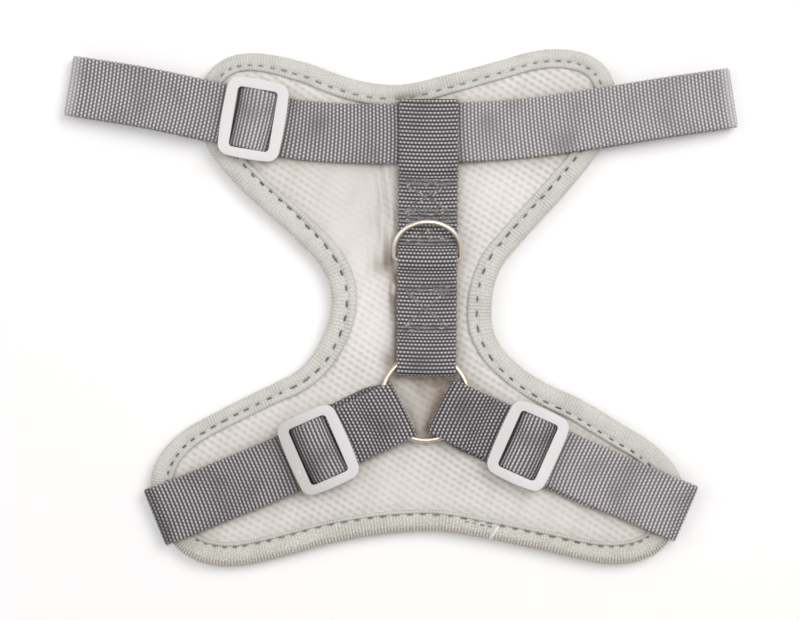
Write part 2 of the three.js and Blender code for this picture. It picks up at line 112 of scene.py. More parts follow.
TAPE_RIB = 1.05
TAPE_RIB_HEIGHT = 0.08
TAPE_STITCH_PITCH = 4.25
TAPE_GROOVE = 5.5               # the stitched groove's inset in the tape's drawn section
TAPE_INNER = 8.55               # the tape's inner edge in that section
GROOVE_HALF_WIDTH = 0.55
TAPE_SHOULDER = 1.2             # how far below its top CAD's tape turns upright
TAPE_JOINT = np.array([29.8, -78.4])

LINING_STEPS = ((-0.57, -2.23), (2.1, -1.4))    # two steps of the lining's dimple lattice
DIMPLE_WEIGHTS = (1.5, 0.45, 0.45)              # the first wave's rows show the most


# ---- Lines seen from above ----

def catmull_rom(points, closed, steps=24):
    """A centripetal Catmull-Rom curve through the points, as a dense polyline."""
    points = np.asarray(points, float)
    count = len(points)
    if closed:
        around = [points[(i - 1) % count] for i in range(count + 3)]
    else:
        around = [2 * points[0] - points[1], *points, 2 * points[-1] - points[-2]]
    t = np.linspace(0, 1, steps, endpoint=False)[:, None]
    pieces = []
    for p0, p1, p2, p3 in zip(around, around[1:], around[2:], around[3:]):
        gaps = [math.dist(a, b) for a, b in ((p0, p1), (p1, p2), (p2, p3))]
        k0, k1, k2 = (math.sqrt(max(gap, 1e-6)) for gap in gaps)
        m1 = ((p1 - p0) / k0 - (p2 - p0) / (k0 + k1) + (p2 - p1) / k1) * k1
        m2 = ((p2 - p1) / k1 - (p3 - p1) / (k1 + k2) + (p3 - p2) / k2) * k1
        pieces.append(
            p1 + m1 * t + (3 * (p2 - p1) - 2 * m1 - m2) * t ** 2 + (2 * (p1 - p2) + m1 + m2) * t ** 3
        )
    end = around[1] if closed else points[-1]
    return np.vstack([*pieces, [end]])


class Route:
    """A smooth line seen from above, measured by distance from its start."""

    def __init__(self, points, closed=False):
        self.line = catmull_rom(points, closed)
        step = np.diff(self.line, axis=0)
        self.distance = np.concatenate([[0], np.cumsum(np.linalg.norm(step, axis=1))])
        self.length = self.distance[-1]
        self.closed = closed
        if closed:
            slope = np.roll(self.line[:-1], -1, axis=0) - np.roll(self.line[:-1], 1, axis=0)
            slope = np.vstack([slope, slope[:1]])
        else:
            slope = np.gradient(self.line, axis=0)
        self.slope = slope / np.linalg.norm(slope, axis=1)[:, None]

    def at(self, distance):
        """Points, tangents and left-hand directions at these distances."""
        distance = np.asarray(distance, float)
        inside = distance % self.length if self.closed else np.clip(distance, 0, self.length)
        point = np.stack([np.interp(inside, self.distance, self.line[:, k]) for k in (0, 1)], -1)
        tangent = np.stack([np.interp(inside, self.distance, self.slope[:, k]) for k in (0, 1)], -1)
        tangent /= np.linalg.norm(tangent, axis=-1, keepdims=True)
        if not self.closed:
            point = point + tangent * (distance - inside)[..., None]
        across = np.stack([-tangent[..., 1], tangent[..., 0]], -1)
        return point, tangent, across

    def nearest(self, point):
        """Distance along the line of its nearest place to a point."""
        gaps = np.linalg.norm(self.line - np.asarray(point)[:2], axis=1)
        return self.distance[int(np.argmin(gaps))]

    def at_x(self, x):
        """Distance along the line where it passes x, for a line that runs along +X."""
        return float(np.interp(x, self.line[:, 0], self.distance))


def plan(points):
    return Route(np.asarray(points, float) + PLAN_ORIGIN)


NECK = plan([
    (-111.3, 74.5), (-84.5, 70.1), (-65.7, 66.1), (-49, 62.6), (-36, 59.7), (-17, 58.2),
    (10, 58.1), (42, 60), (66, 63.4), (86, 66.6), (111.3, 70.4),
])
GIRTH = {
    "left": plan([RING_IN_PLAN, (-17.2, -42.2), (-37.5, -51.6), (-60, -61.1), (-82.4, -70.2)]),
    "right": plan([RING_IN_PLAN, (20.5, -35.8), (42.3, -45.7), (68, -57), (95.6, -69)]),
}


def fold_reach(off_centre):
    """How near the ring's centre the fold of a strap comes."""
    edge = WEB_WIDTH / 2 + off_centre
    inside = O_RING["radius"] - O_RING["wire"]
    return math.sqrt(inside ** 2 - edge ** 2) - LAYER_PITCH


BACK_BOTTOM_Y = RING_IN_PLAN[1] + fold_reach(0.3)
BACK_TOP_Y = 70
BACK = plan([(8.4, BACK_BOTTOM_Y), (9.3, BACK_TOP_Y)])


def panel_edge():
    """The panel's outline, read off the outer side of the CAD binding."""
    shoulder = PANEL_TOP - TAPE_SHOULDER
    corners = [np.array(v.co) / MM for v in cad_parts["edge_binding"].data.vertices]
    ring = {(round(p[0], 2), round(p[1], 2)) for p in corners if abs(p[2] - shoulder) < 0.05}
    left = sorted(ring)
    chain = [left.pop(0)]
    while left:
        left.sort(key=lambda p: math.dist(p, chain[-1]))
        chain.append(left.pop(0))
    chain = np.array(chain)
    turned = np.roll(chain, -1, axis=0)
    if np.sum(chain[:, 0] * turned[:, 1] - turned[:, 0] * chain[:, 1]) < 0:
        chain = chain[::-1]
    return Route(chain, closed=True)


EDGE = panel_edge()


# ---- Mesh helpers ----

def smoothstep(low, high, value):
    t = np.clip((value - low) / (high - low), 0, 1)
    return t * t * (3 - 2 * t)


def build_mesh(name, points, quads, material, attributes=None):
    """A smooth-shaded mesh object of quads, with its faces turned outwards."""
    points = np.asarray(points, float).reshape(-1, 3)
    quads = np.asarray(quads, np.int32)
    corner = [points[quads[:, k]] for k in range(4)]
    volume = np.sum(corner[0] * np.cross(corner[1], corner[2]))
    volume += np.sum(corner[0] * np.cross(corner[2], corner[3]))
    if volume < 0:
        quads = quads[:, ::-1]
    count = len(quads)
    mesh = bpy.data.meshes.new(name)
    mesh.vertices.add(len(points))
    mesh.vertices.foreach_set("co", (points * MM).astype(np.float32).ravel())
    mesh.loops.add(count * 4)
    mesh.loops.foreach_set("vertex_index", np.ascontiguousarray(quads).ravel())
    mesh.polygons.add(count)
    mesh.polygons.foreach_set("loop_start", np.arange(0, count * 4, 4, dtype=np.int32))
    mesh.update(calc_edges=True)
    mesh.validate()
    mesh.shade_smooth()
    for key, values in (attributes or {}).items():
        attribute = mesh.attributes.new(key, "FLOAT_VECTOR", "POINT")
        attribute.data.foreach_set("vector", np.asarray(values, np.float32).ravel())
    mesh.materials.append(material)
    piece = bpy.data.objects.new(name, mesh)
    bpy.context.scene.collection.objects.link(piece)
    return piece


def tube_quads(rows, columns, closed_rows, closed_columns=True, start=0):
    """Faces of a grid of points, row by row, joined round in one or both directions."""
    row = np.arange(rows if closed_rows else rows - 1)
    column = np.arange(columns if closed_columns else columns - 1)
    i, j = np.meshgrid(row, column, indexing="ij")
    next_i = (i + 1) % rows
    next_j = (j + 1) % columns
    corners = (i * columns + j, i * columns + next_j, next_i * columns + next_j, next_i * columns + j)
    return np.stack([c.ravel() for c in corners], -1) + start


def nearest_of(targets, points):
    """For each point, which target lies nearest, and how far away it is."""
    tree = KDTree(len(targets))
    for k, (x, y) in enumerate(targets):
        tree.insert((x, y, 0), k)
    tree.balance()
    found = [tree.find((x, y, 0)) for x, y in points]
    return np.array([hit[1] for hit in found]), np.array([hit[2] for hit in found])


def place(piece, body, slot, *nodes):
    """Rides a piece on its body and hides the CAD nodes it stands for."""
    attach(piece, body)
    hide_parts(*nodes)
    return piece


# ---- Materials ----

class Value:
    """A number inside a node material, so that a material reads as plain sums."""

    def __init__(self, shade, socket):
        self.shade = shade
        self.socket = socket

    def __add__(self, other):
        return self.shade.math("ADD", self, other)

    def __radd__(self, other):
        return self.shade.math("ADD", other, self)

    def __sub__(self, other):
        return self.shade.math("SUBTRACT", self, other)

    def __rsub__(self, other):
        return self.shade.math("SUBTRACT", other, self)

    def __mul__(self, other):
        return self.shade.math("MULTIPLY", self, other)

    def __truediv__(self, other):
        return self.shade.math("DIVIDE", self, other)

    def times_plus(self, factor, offset, clamp=False):
        return self.shade.math("MULTIPLY_ADD", self, factor, offset, clamp=clamp)


def colour_mix(nodes):
    """A new colour mix: its factor, its two colours and its result."""
    node = nodes.new("ShaderNodeMix")
    node.data_type = "RGBA"
    first, second = [s for s in node.inputs if s.type == "RGBA"]
    return node.inputs[0], first, second, next(s for s in node.outputs if s.type == "RGBA")


class Shade:
    """A node material, written as short expressions."""

    def __init__(self, name, roughness, **sockets):
        self.material = bpy.data.materials.new(name)
        self.material.use_nodes = True
        self.nodes = self.material.node_tree.nodes
        self.links = self.material.node_tree.links
        self.shader = self.nodes["Principled BSDF"]
        self.shader.inputs["Roughness"].default_value = roughness
        for socket, value in sockets.items():
            self.shader.inputs[socket.replace("_", " ")].default_value = value

    def feed(self, socket, value):
        """Joins a value to a socket, or sets the socket to a number or a colour."""
        if isinstance(value, Value):
            value = value.socket
        if isinstance(value, bpy.types.NodeSocket):
            self.links.new(value, socket)
        elif isinstance(value, tuple):
            socket.default_value = (*value, 1.0)
        else:
            socket.default_value = value

    def math(self, operation, *values, clamp=False):
        node = self.nodes.new("ShaderNodeMath")
        node.operation = operation
        node.use_clamp = clamp
        for socket, value in zip(node.inputs, values):
            self.feed(socket, value)
        return Value(self, node.outputs[0])

    def step(self, value, low, high):
        """Rises smoothly from 0 to 1 as value goes from low to high."""
        node = self.nodes.new("ShaderNodeMapRange")
        node.interpolation_type = "SMOOTHSTEP"
        self.feed(node.inputs["Value"], value)
        node.inputs["From Min"].default_value = low
        node.inputs["From Max"].default_value = high
        return Value(self, node.outputs["Result"])

    def wave(self, along, pitch):
        """Goes from 1 to 0 and back over each pitch."""
        return self.math("COSINE", along * (TURN / pitch)).times_plus(0.5, 0.5)

    def mix(self, factor, first, second):
        *sockets, result = colour_mix(self.nodes)
        for socket, value in zip(sockets, (factor, first, second)):
            self.feed(socket, value)
        return result

    def attribute(self, name):
        """The three numbers of a point attribute, and the attribute itself."""
        node = self.nodes.new("ShaderNodeAttribute")
        node.attribute_name = name
        return [*self.split(node.outputs["Vector"]), node.outputs["Vector"]]

    def split(self, vector):
        node = self.nodes.new("ShaderNodeSeparateXYZ")
        self.feed(node.inputs[0], vector)
        return [Value(self, output) for output in node.outputs]

    def join(self, x, y):
        node = self.nodes.new("ShaderNodeCombineXYZ")
        self.feed(node.inputs[0], x)
        self.feed(node.inputs[1], y)
        return node.outputs[0]

    def place_mm(self):
        """The point's place in the object, in millimetres."""
        node = self.nodes.new("ShaderNodeTexCoord")
        scale = self.nodes.new("ShaderNodeVectorMath")
        scale.operation = "SCALE"
        self.links.new(node.outputs["Object"], scale.inputs[0])
        scale.inputs["Scale"].default_value = 1 / MM
        return scale.outputs[0]

    def noise(self, vector, scale, detail=2.0):
        node = self.nodes.new("ShaderNodeTexNoise")
        self.feed(node.inputs["Vector"], vector)
        node.inputs["Scale"].default_value = scale
        node.inputs["Detail"].default_value = detail
        return Value(self, node.outputs[0])

    def finish(self, colour, height, depth, roughness=None):
        """Joins colour, roughness and a bump of some depth in millimetres to the shader."""
        self.feed(self.shader.inputs["Base Color"], colour)
        if roughness is not None:
            self.feed(self.shader.inputs["Roughness"], roughness)
        bump = self.nodes.new("ShaderNodeBump")
        bump.inputs["Distance"].default_value = depth * MM
        self.feed(bump.inputs["Height"], height)
        self.links.new(bump.outputs[0], self.shader.inputs["Normal"])
        return self.material


def webbing_material():
    """Ribbed grey webbing: light dots on each rib, staggered, as painted highlights on the crowns, and
    dark gaps between ribs as painted shade.
    """
    shade = Shade("webbing_weave", 0.62, Sheen_Weight=0.08, Sheen_Roughness=0.4)
    along, across, sewn, web = shade.attribute("web")
    tone, lines, pale, _ = shade.attribute("tone")
    rib = along / RIB_PITCH
    stagger = shade.math("FRACT", shade.math("FLOOR", rib) * 0.5)
    from_rib = (shade.math("FRACT", rib) - 0.5) * 2.0
    from_dot = (shade.math("FRACT", across / DOT_PITCH + stagger) - 0.5) * 2.0
    patches = shade.noise(web, 0.07, 1.0)
    # where the weave is drawn out, its dots run together into lines
    drawn = shade.math("MULTIPLY", lines, patches.times_plus(0.8, 0.6), clamp=True)
    run_on = from_dot * drawn.times_plus(-0.58, 1.0)
    away = shade.math("SQRT", from_rib * from_rib + run_on * run_on)
    plain = 1.0 - sewn * 0.7
    dot = (1.0 - shade.step(away, 0.15, 0.74)) * shade.step(patches, 0.15, 0.55) * plain
    rise = 1.0 - shade.step(shade.math("ABSOLUTE", from_rib), 0.25, 0.80)
    notch = shade.step(shade.math("ABSOLUTE", from_dot), 0.35, 0.95) * plain
    fibres = shade.noise(shade.join(along * 0.9, across * 7.0), 1.0)
    # painted shade in the gaps between ribs and between dots, and painted highlights on the dots
    body = shade.mix(fibres, (0.15, 0.137, 0.148), (0.38, 0.355, 0.370))
    body = shade.mix(notch * 0.6, body, (0.08, 0.071, 0.077))
    gap = shade.mix(drawn, (0.030, 0.025, 0.030), (0.085, 0.074, 0.082))
    peak = shade.mix(drawn, (0.80, 0.76, 0.79), (0.68, 0.645, 0.665))
    colour = shade.mix(dot, shade.mix(rise, gap, body), peak)
    selvedge = shade.step(shade.math("ABSOLUTE", across), WEB_WIDTH / 2 - 1.1, WEB_WIDTH / 2 - 0.4)
    colour = shade.mix(selvedge * 0.15, colour, (0.36, 0.34, 0.36))
    # painted light and shade from each row's tone: pale lightens the weave and dark darkens it
    colour = shade.mix(pale, colour, (0.74, 0.71, 0.735))
    colour = shade.mix(tone, colour, (0.028, 0.023, 0.024))
    return shade.finish(colour, rise * 0.6 + dot * 0.5 + fibres * 0.35, 0.12)


def lattice_waves():
    """The three wave vectors of the lining's dimples, in turns per millimetre."""
    first, second = np.linalg.inv(np.array(LINING_STEPS).T)
    return first, second, first + second


def lining_material():
    """Soft off-white knit with shallow grey dimples."""
    shade = Shade("lining_knit", 0.9, Sheen_Weight=0.25, Sheen_Roughness=0.6)
    where = shade.place_mm()
    x, y, _ = shade.split(where)
    y = y + shade.noise(where, 0.05, 1.0) * 1.5
    total = 0.0
    for (wave_x, wave_y), weight in zip(lattice_waves(), DIMPLE_WEIGHTS):
        turn = x * (TURN * wave_x) + y * (TURN * wave_y)
        total = total + shade.math("COSINE", turn) * weight
    painted_shade, depth, pale, _ = shade.attribute("knit")
    dimple = shade.step(total, -1.4, 2.2) * depth
    yarn = shade.noise(where, 2.2, 3.0)
    base = shade.mix(shade.noise(where, 0.04), (0.72, 0.69, 0.66), (0.80, 0.775, 0.75))
    base = shade.mix(yarn * 0.3, base, (0.62, 0.585, 0.555))
    # painted light on the waist and the right shoulder
    base = shade.mix(pale, base, (0.95, 0.925, 0.90))
    colour = shade.mix(dimple * 0.85, base, (0.50, 0.465, 0.445))
    # painted brown shade in the creases, beside the straps' edges and inside the ring
    rough_shade = painted_shade * shade.noise(where, 1.2).times_plus(0.4, 0.8)
    return shade.finish(shade.mix(rough_shade, colour, (0.20, 0.145, 0.105)), yarn, 0.12)


def outer_face_material():
    """Open air mesh on the panel's outer face."""
    shade = Shade("outer_air_mesh", 0.85, Sheen_Weight=0.2, Sheen_Roughness=0.6)
    where = shade.place_mm()
    cells = shade.nodes.new("ShaderNodeTexVoronoi")
    cells.feature = "DISTANCE_TO_EDGE"
    cells.inputs["Scale"].default_value = 0.55
    cells.inputs["Randomness"].default_value = 0.25
    shade.feed(cells.inputs["Vector"], where)
    bar = 1.0 - shade.step(cells.outputs["Distance"], 0.08, 0.3)
    solid = shade.mix(shade.noise(where, 3.0, 3.0), (0.60, 0.59, 0.56), (0.74, 0.73, 0.70))
    return shade.finish(shade.mix(bar, (0.30, 0.29, 0.28), solid), bar, 0.3)


def tape_material():
    """Grey-green binding tape with fine cross ribs, painted shade in their gaps and along the bottom
    edge.
    """
    shade = Shade("binding_ribs", 0.7, Sheen_Weight=0.15, Sheen_Roughness=0.5)
    along, inset, end_highlight, tape = shade.attribute("tape")
    shaded, bottom_shading = shade.attribute("shade")[:2]
    rib = shade.wave(along, TAPE_RIB)
    fibres = shade.noise(shade.join(along * 0.5, inset * 0.25), 4.0, 3.0)
    specks = shade.step(shade.noise(shade.join(along * 1.9, inset * 1.4), 1.0, 1.0), 0.38, 0.66)
    high = shade.mix(shade.noise(tape, 0.06), (0.57, 0.565, 0.525), (0.68, 0.685, 0.645))
    # towards the bottom edge, painted shade browns the tape and painted highlights brighten its specks
    high = shade.mix(bottom_shading * 0.52, high, (0.40, 0.34, 0.28))
    high = shade.mix(specks * bottom_shading.times_plus(0.4, 0.55), high, (0.90, 0.905, 0.86))
    high = shade.mix(fibres * 0.4, high, (0.42, 0.415, 0.375))
    # painted shade in the gaps between the ribs, deepest near the bottom edge
    ribs_seen = shade.step(shade.noise(tape, 0.12, 1.0), 0.35, 0.75)
    gaps = bottom_shading.times_plus(0.35, ribs_seen * 0.75, clamp=True)
    low = shade.mix(gaps, high, (0.36, 0.34, 0.30))
    low = shade.mix(shade.step(bottom_shading, 0.6, 1.1) * 0.75, low, (0.20, 0.155, 0.115))
    colour = shade.mix(rib.times_plus(0.75, 0.25), low, high)
    # painted highlight on the roll of the tape's folded end
    colour = shade.mix(end_highlight, colour, (0.92, 0.90, 0.84))
    colour = shade.mix(shaded, colour, (0.17, 0.14, 0.11))
    return shade.finish(colour, rib + fibres * 0.5, 0.08)


def thread_material(name, dark, light):
    """Twisted sewing thread."""
    shade = Shade(name, 0.6, Sheen_Weight=0.2, Sheen_Roughness=0.4)
    along, around, bright, ply = shade.attribute("ply")
    twist = shade.wave(along + around, 0.5)
    lit = (twist + shade.noise(ply, 3.0)) * bright
    return shade.finish(shade.mix(lit, dark, light), twist, 0.06)


def nickel_material(name, dark, light, inner_reflection):
    """Nickel-plated wire with fine draw marks, and a painted brown reflection of the webbing on its
    inner side.
    """
    shade = Shade(name, 0.25, Metallic=0.82)
    along, around, _, ply = shade.attribute("ply")
    marks = shade.noise(shade.join(along * 0.15, around * 9.0), 1.5, 3.0)
    colour = shade.mix(shade.noise(ply, 0.35), dark, light)
    # painted reflection of the dark webbing on the wire's inner side
    colour = shade.mix(shade.step(around, 0.75, 1.35) * inner_reflection, colour, (0.30, 0.235, 0.165))
    return shade.finish(colour, marks, 0.02, marks.times_plus(0.12, 0.22))


def plastic_material():
    """White moulded plastic with a satin grain."""
    shade = Shade("slide_plastic_satin", 0.5, Specular_IOR_Level=0.3)
    where = shade.place_mm()
    grain = shade.noise(where, 5.0, 3.0)
    cloud = shade.noise(where, 0.12, 1.0)
    colour = shade.mix(cloud, (0.71, 0.705, 0.705), (0.77, 0.765, 0.765))
    # painted shade on the frame's shaded side and round the gate mark
    colour = shade.mix(shade.attribute("frame_shade")[0], colour, (0.30, 0.272, 0.25))
    return shade.finish(colour, grain, 0.02, grain.times_plus(0.12, 0.44))


WEBBING = webbing_material()
LINING = lining_material()
OUTER_FACE = outer_face_material()
TAPE = tape_material()
TAPE_THREAD = thread_material("binding_thread", (0.07, 0.075, 0.07), (0.32, 0.335, 0.315))
BOX_THREAD = thread_material("box_thread", (0.10, 0.108, 0.10), (0.62, 0.64, 0.61))
# painted light: one nickel in a darker copy for the joining ring and a lighter copy for the leash ring's
# broad highlights
JOINING_NICKEL = nickel_material("nickel_plate", (0.66, 0.54, 0.41), (0.80, 0.70, 0.57), 0.3)
LEASH_NICKEL = nickel_material("nickel_plate_painted_light", (0.84, 0.75, 0.62), (0.94, 0.89, 0.80), 0.7)
PLASTIC = plastic_material()


# ---- Webbing ----

def ramp(from_s, from_z, to_s, to_z, count=16):
    """A soft change of height along a strap's side view, both ends included."""
    t = np.linspace(0, 1, count)
    return np.stack([from_s + (to_s - from_s) * t, from_z + (to_z - from_z) * smoothstep(0, 1, t)], -1)


def fold(centre_s, low_z, high_z, sign, upwards, flatter=0.0, count=28):
    """Half a circle between two layers, bulging the way sign points.
    A flatter fold starts to fall sooner on its upper side."""
    angle = np.linspace(-math.pi / 2, math.pi / 2, count)
    radius = (high_z - low_z) / 2
    along = sign * radius * np.cos(angle) - sign * flatter * np.clip(np.sin(angle), 0, 1) ** 3
    arc = np.stack([centre_s + along, (low_z + high_z) / 2 + radius * np.sin(angle)], -1)
    return arc if upwards else arc[::-1]


def even_rows(profile, closed):
    """The side view in even steps, four to a rib: distances, places and upward normals."""
    line = np.asarray(profile, float)
    if closed:
        line = np.vstack([line, line[:1]])
    travelled = np.concatenate([[0], np.cumsum(np.linalg.norm(np.diff(line, axis=0), axis=1))])
    ribs = max(round(travelled[-1] / RIB_PITCH / 2), 1) * 2 if closed else travelled[-1] / RIB_PITCH
    count = int(ribs * ROWS_PER_RIB)
    step = travelled[-1] / count if closed else RIB_PITCH / ROWS_PER_RIB
    distance = np.arange(count + (0 if closed else 1)) * step
    rows = np.stack([np.interp(distance, travelled, line[:, k]) for k in (0, 1)], -1)
    for _ in range(3):
        if closed:
            rows = (np.roll(rows, 1, axis=0) + 2 * rows + np.roll(rows, -1, axis=0)) / 4
        else:
            rows[1:-1] = (rows[:-2] + 2 * rows[1:-1] + rows[2:]) / 4
    if closed:
        slope = np.roll(rows, -1, axis=0) - np.roll(rows, 1, axis=0)
    else:
        slope = np.gradient(rows, axis=0)
    slope /= np.linalg.norm(slope, axis=1)[:, None]
    weave = distance * (ribs * RIB_PITCH / travelled[-1])
    return weave, rows, slope


def rib_height(weave, across):
    """How far the ribs and their dots stand out of the webbing."""
    in_rib = (weave / RIB_PITCH) % 1
    stagger = (np.floor(weave / RIB_PITCH + 1e-6) % 2) * 0.5
    in_dot = (across / DOT_PITCH + stagger) % 1
    rib = np.sin(math.pi * in_rib) ** 0.8
    dot = np.exp(-((in_dot - 0.5) ** 2 + (in_rib - 0.5) ** 2) / 0.05)
    return 0.10 * rib + 0.07 * dot


def web_section(weave, centre, normal, side, near_edge, held):
    """The webbing's rows of points, across the upper face and back across the lower one."""
    half = WEB_HALF_THICK * np.sqrt(np.clip(1 - near_edge ** 2 * 0.9, 0.05, 1))
    layers = []
    for sign in (1, -1):
        # the ribs of one face fall between those of the other
        ribs = rib_height(weave[:, None] + (0 if sign > 0 else RIB_PITCH), side)
        out = half + ribs * (1 - 0.6 * near_edge) * (1 - 0.5 * held)[:, None]
        layers.append(centre + sign * normal[:, None, :] * out[..., None])
    return np.concatenate([layers[0], layers[1][:, ::-1]], axis=1)


def web_quads(rows, columns, closed):
    """The webbing's faces, with both ends capped unless it is a closed loop."""
    quads = tube_quads(rows, columns, closed)
    if closed:
        return quads
    j = np.arange(WEB_COLUMNS)
    cap = np.stack([j, j + 1, columns - 2 - j, columns - 1 - j], -1)
    return np.vstack([quads, cap[:, ::-1], cap + (rows - 1) * columns])


def webbing(name, route, profile, closed=False, phase=0.0, shift=None, tone=None, sewn=None):
    """A webbing strap: its side view carried along its route, woven on both sides.
    Its tone says, for each row, how dark with painted shade, how drawn out and how pale with painted
    light the weave is."""
    weave, rows, slope = even_rows(profile, closed)
    weave = weave + phase * RIB_PITCH
    s, z = rows[:, 0], rows[:, 1]
    point, tangent, across = route.at(s)
    if shift is not None:
        point = point + across * shift(rows)[:, None]
    onward = np.column_stack([tangent * slope[:, :1], slope[:, 1]])
    normal = np.column_stack([-tangent * slope[:, 1:], slope[:, 0]])
    sideways = np.column_stack([across, np.zeros(len(s))])
    side = np.linspace(-WEB_WIDTH / 2, WEB_WIDTH / 2, WEB_COLUMNS + 1)
    near_edge = smoothstep(WEB_WIDTH / 2 - SELVEDGE, WEB_WIDTH / 2, np.abs(side))
    dip = SCALLOP * np.cos(TURN * weave / RIB_PITCH)[:, None] + 0.006
    wide = side * (1 - dip * near_edge)
    centre = np.column_stack([point, z])[:, None, :] + wide[..., None] * sideways[:, None, :]
    bowed = WEB_BOW * (1 - (2 * side / WEB_WIDTH) ** 2)
    centre = centre + onward[:, None, :] * bowed[None, :, None]
    held = np.zeros(len(s)) if sewn is None else sewn(rows)
    section = web_section(weave, centre, normal, side, near_edge, held)
    web = np.zeros(section.shape)
    web[..., 0] = weave[:, None]
    web[:, WEB_COLUMNS + 1:, 0] += RIB_PITCH
    web[..., 1] = np.concatenate([side, side[::-1]])
    web[..., 2] = held[:, None]
    shades = np.zeros(section.shape)
    if tone is not None:
        shades[:] = np.asarray(tone(rows))[:, None, :]
    quads = web_quads(*section.shape[:2], closed)
    return build_mesh(name, section, quads, WEBBING, {"web": web, "tone": shades})


def toned(rows, dark=0.0, lines=0.0, pale=0.0):
    return np.column_stack([np.broadcast_to(part, len(rows)) for part in (dark, lines, pale)])


def blend_along(piece, route, start, end):
    """Bakes the strap's place into its mesh; the points it finds at start and end go unused."""
    ends = [Vector((*(route.at(s)[0] * MM), SECOND_LAYER * MM)) for s in (start, end)]
    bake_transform(piece)


NECK_FOLD_RADIUS = 2.8
NECK_SETTLE = 20
NECK_UNDER_END = 6.4            # where the turned end meets the band under the panel
GIRTH_FOLD_RADIUS = 3.3
FOLD_FLATTER = 3.0

RING_FOLD = {"left": 7.9, "right": 5.4}             # each girth fold's distance from the ring's centre
LOWER_LAYER_END = {"left": 41, "right": 66}         # where its lower layer ends, from the ring's centre
LOWER_LAYER_ASKEW = {"left": -2.0, "right": -1.1}
# painted shade and light on the girth webbing: how dark it is near the ring, far from it and at its
# outer fold, and how pale
GIRTH_TONE = {"left": (0.16, 0.20, 0.30, 0.0), "right": (0.20, 0.0, 0.04, 0.10)}

# For each slide: degrees off its strap's line; painted shade on its frame's near and far side, seen
# from the ring; painted shade on the webbing beside it, near and far; and for the webbing in its window,
# how dark its painted shade is, how much darker on the far side, and how pale.
SLIDE_LOOK = {
    "neck": {
        "turn": 2.6, "frame_shade": (0.0, 0.0), "beside": (0.22, 0.38), "window": (0.0, 0.2, 0.12)},
    "left_girth": {
        "turn": -1.4, "frame_shade": (0.10, 0.42), "beside": (0.12, 0.62), "window": (0.12, 0.42, 0.0)},
    "right_girth": {
        "turn": 0.0, "frame_shade": (0.14, 0.0), "beside": (0.22, 0.30), "window": (0.06, 0.26, 0.0)},
}


def beside_slide(name, route, s):
    """The slide's shade on the webbing that it lies on."""
    middle = route.nearest(node_middle(f"{name}_slide"))
    near, far = SLIDE_LOOK[name]["beside"]
    outward = (s < middle) if name == "neck" else (s > middle)
    gap = np.maximum(np.abs(s - middle) - SLIDE["along"] / 2, 0)
    return np.where(outward, far, near) * np.exp(-gap / 2.6)


def neck_half(fold_s, sign, settled, middle):
    """From under the panel, round the open fold, and along the top to the middle."""
    bend = fold_s - sign * (NECK_FOLD_RADIUS + HALF_WEB)
    top = UNDER_LAYER + 2 * NECK_FOLD_RADIUS
    under = fold_s - sign * NECK_UNDER_END
    return np.vstack([
        [[under, UNDER_LAYER]],
        fold(bend, UNDER_LAYER, top, sign, True, FOLD_FLATTER),
        ramp(bend - sign * 5, top, bend - sign * NECK_SETTLE, FIRST_LAYER),
        ramp(settled[0], FIRST_LAYER, settled[1], SECOND_LAYER),
        [[middle, SECOND_LAYER]],
    ])


def make_neck():
    middle = NECK.at_x(9)
    left = neck_half(0, -1, (NECK.at_x(-15), NECK.at_x(-4)), middle)
    right = neck_half(NECK.length, 1, (NECK.at_x(30.5), NECK.at_x(22)), middle)

    def beside_back(s, reach):
        # 1 under the back strap, which crosses on top, and falling away beside it
        x = NECK.at(s)[0][:, 0] - PLAN_ORIGIN[0]
        return np.exp(-np.maximum(np.abs(x - BACK_X) - WEB_WIDTH / 2, 0) / reach)

    # both halves: painted shade under and beside the back strap's crossing and beside the slide; a
    # little darker towards the middle; painted light all along, more towards the folded end
    def left_tone(rows):
        s = rows[:, 0]
        end = smoothstep(5.5, 0, s)
        dark = 0.07 * smoothstep(50, 85, s) + 0.5 * beside_back(s, 1.6) + beside_slide("neck", NECK, s)
        return toned(rows, dark, 0.55 - 0.2 * end - 0.55 * beside_back(s, 4), 0.09 + 0.5 * end)

    def right_tone(rows):
        s = NECK.length - rows[:, 0]
        end = smoothstep(5.0, 0, s)
        lines = 0.6 - 0.2 * end - 0.6 * beside_back(rows[:, 0], 4)
        return toned(rows, 0.5 * beside_back(rows[:, 0], 1.6), lines, 0.16 + 0.5 * end)

    piece = webbing("neck_web_left", NECK, left, tone=left_tone)
    blend_along(piece, NECK, NECK_UNDER_END + 0.4, NECK.at_x(-62))
    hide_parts("neck_strap_left", "neck_strap_middle")
    piece = webbing("neck_web_right", NECK, right, phase=0.5, tone=right_tone)
    blend_along(piece, NECK, NECK.length - NECK_UNDER_END - 0.4, NECK.at_x(30))
    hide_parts("neck_strap_right")
    band = webbing("neck_band_web", NECK, [
        (NECK_UNDER_END, UNDER_LAYER), (NECK.length - NECK_UNDER_END, UNDER_LAYER)],
        tone=lambda rows: toned(rows, lines=0.5))
    place(band, "chest_panel", "webbing", "neck_band")


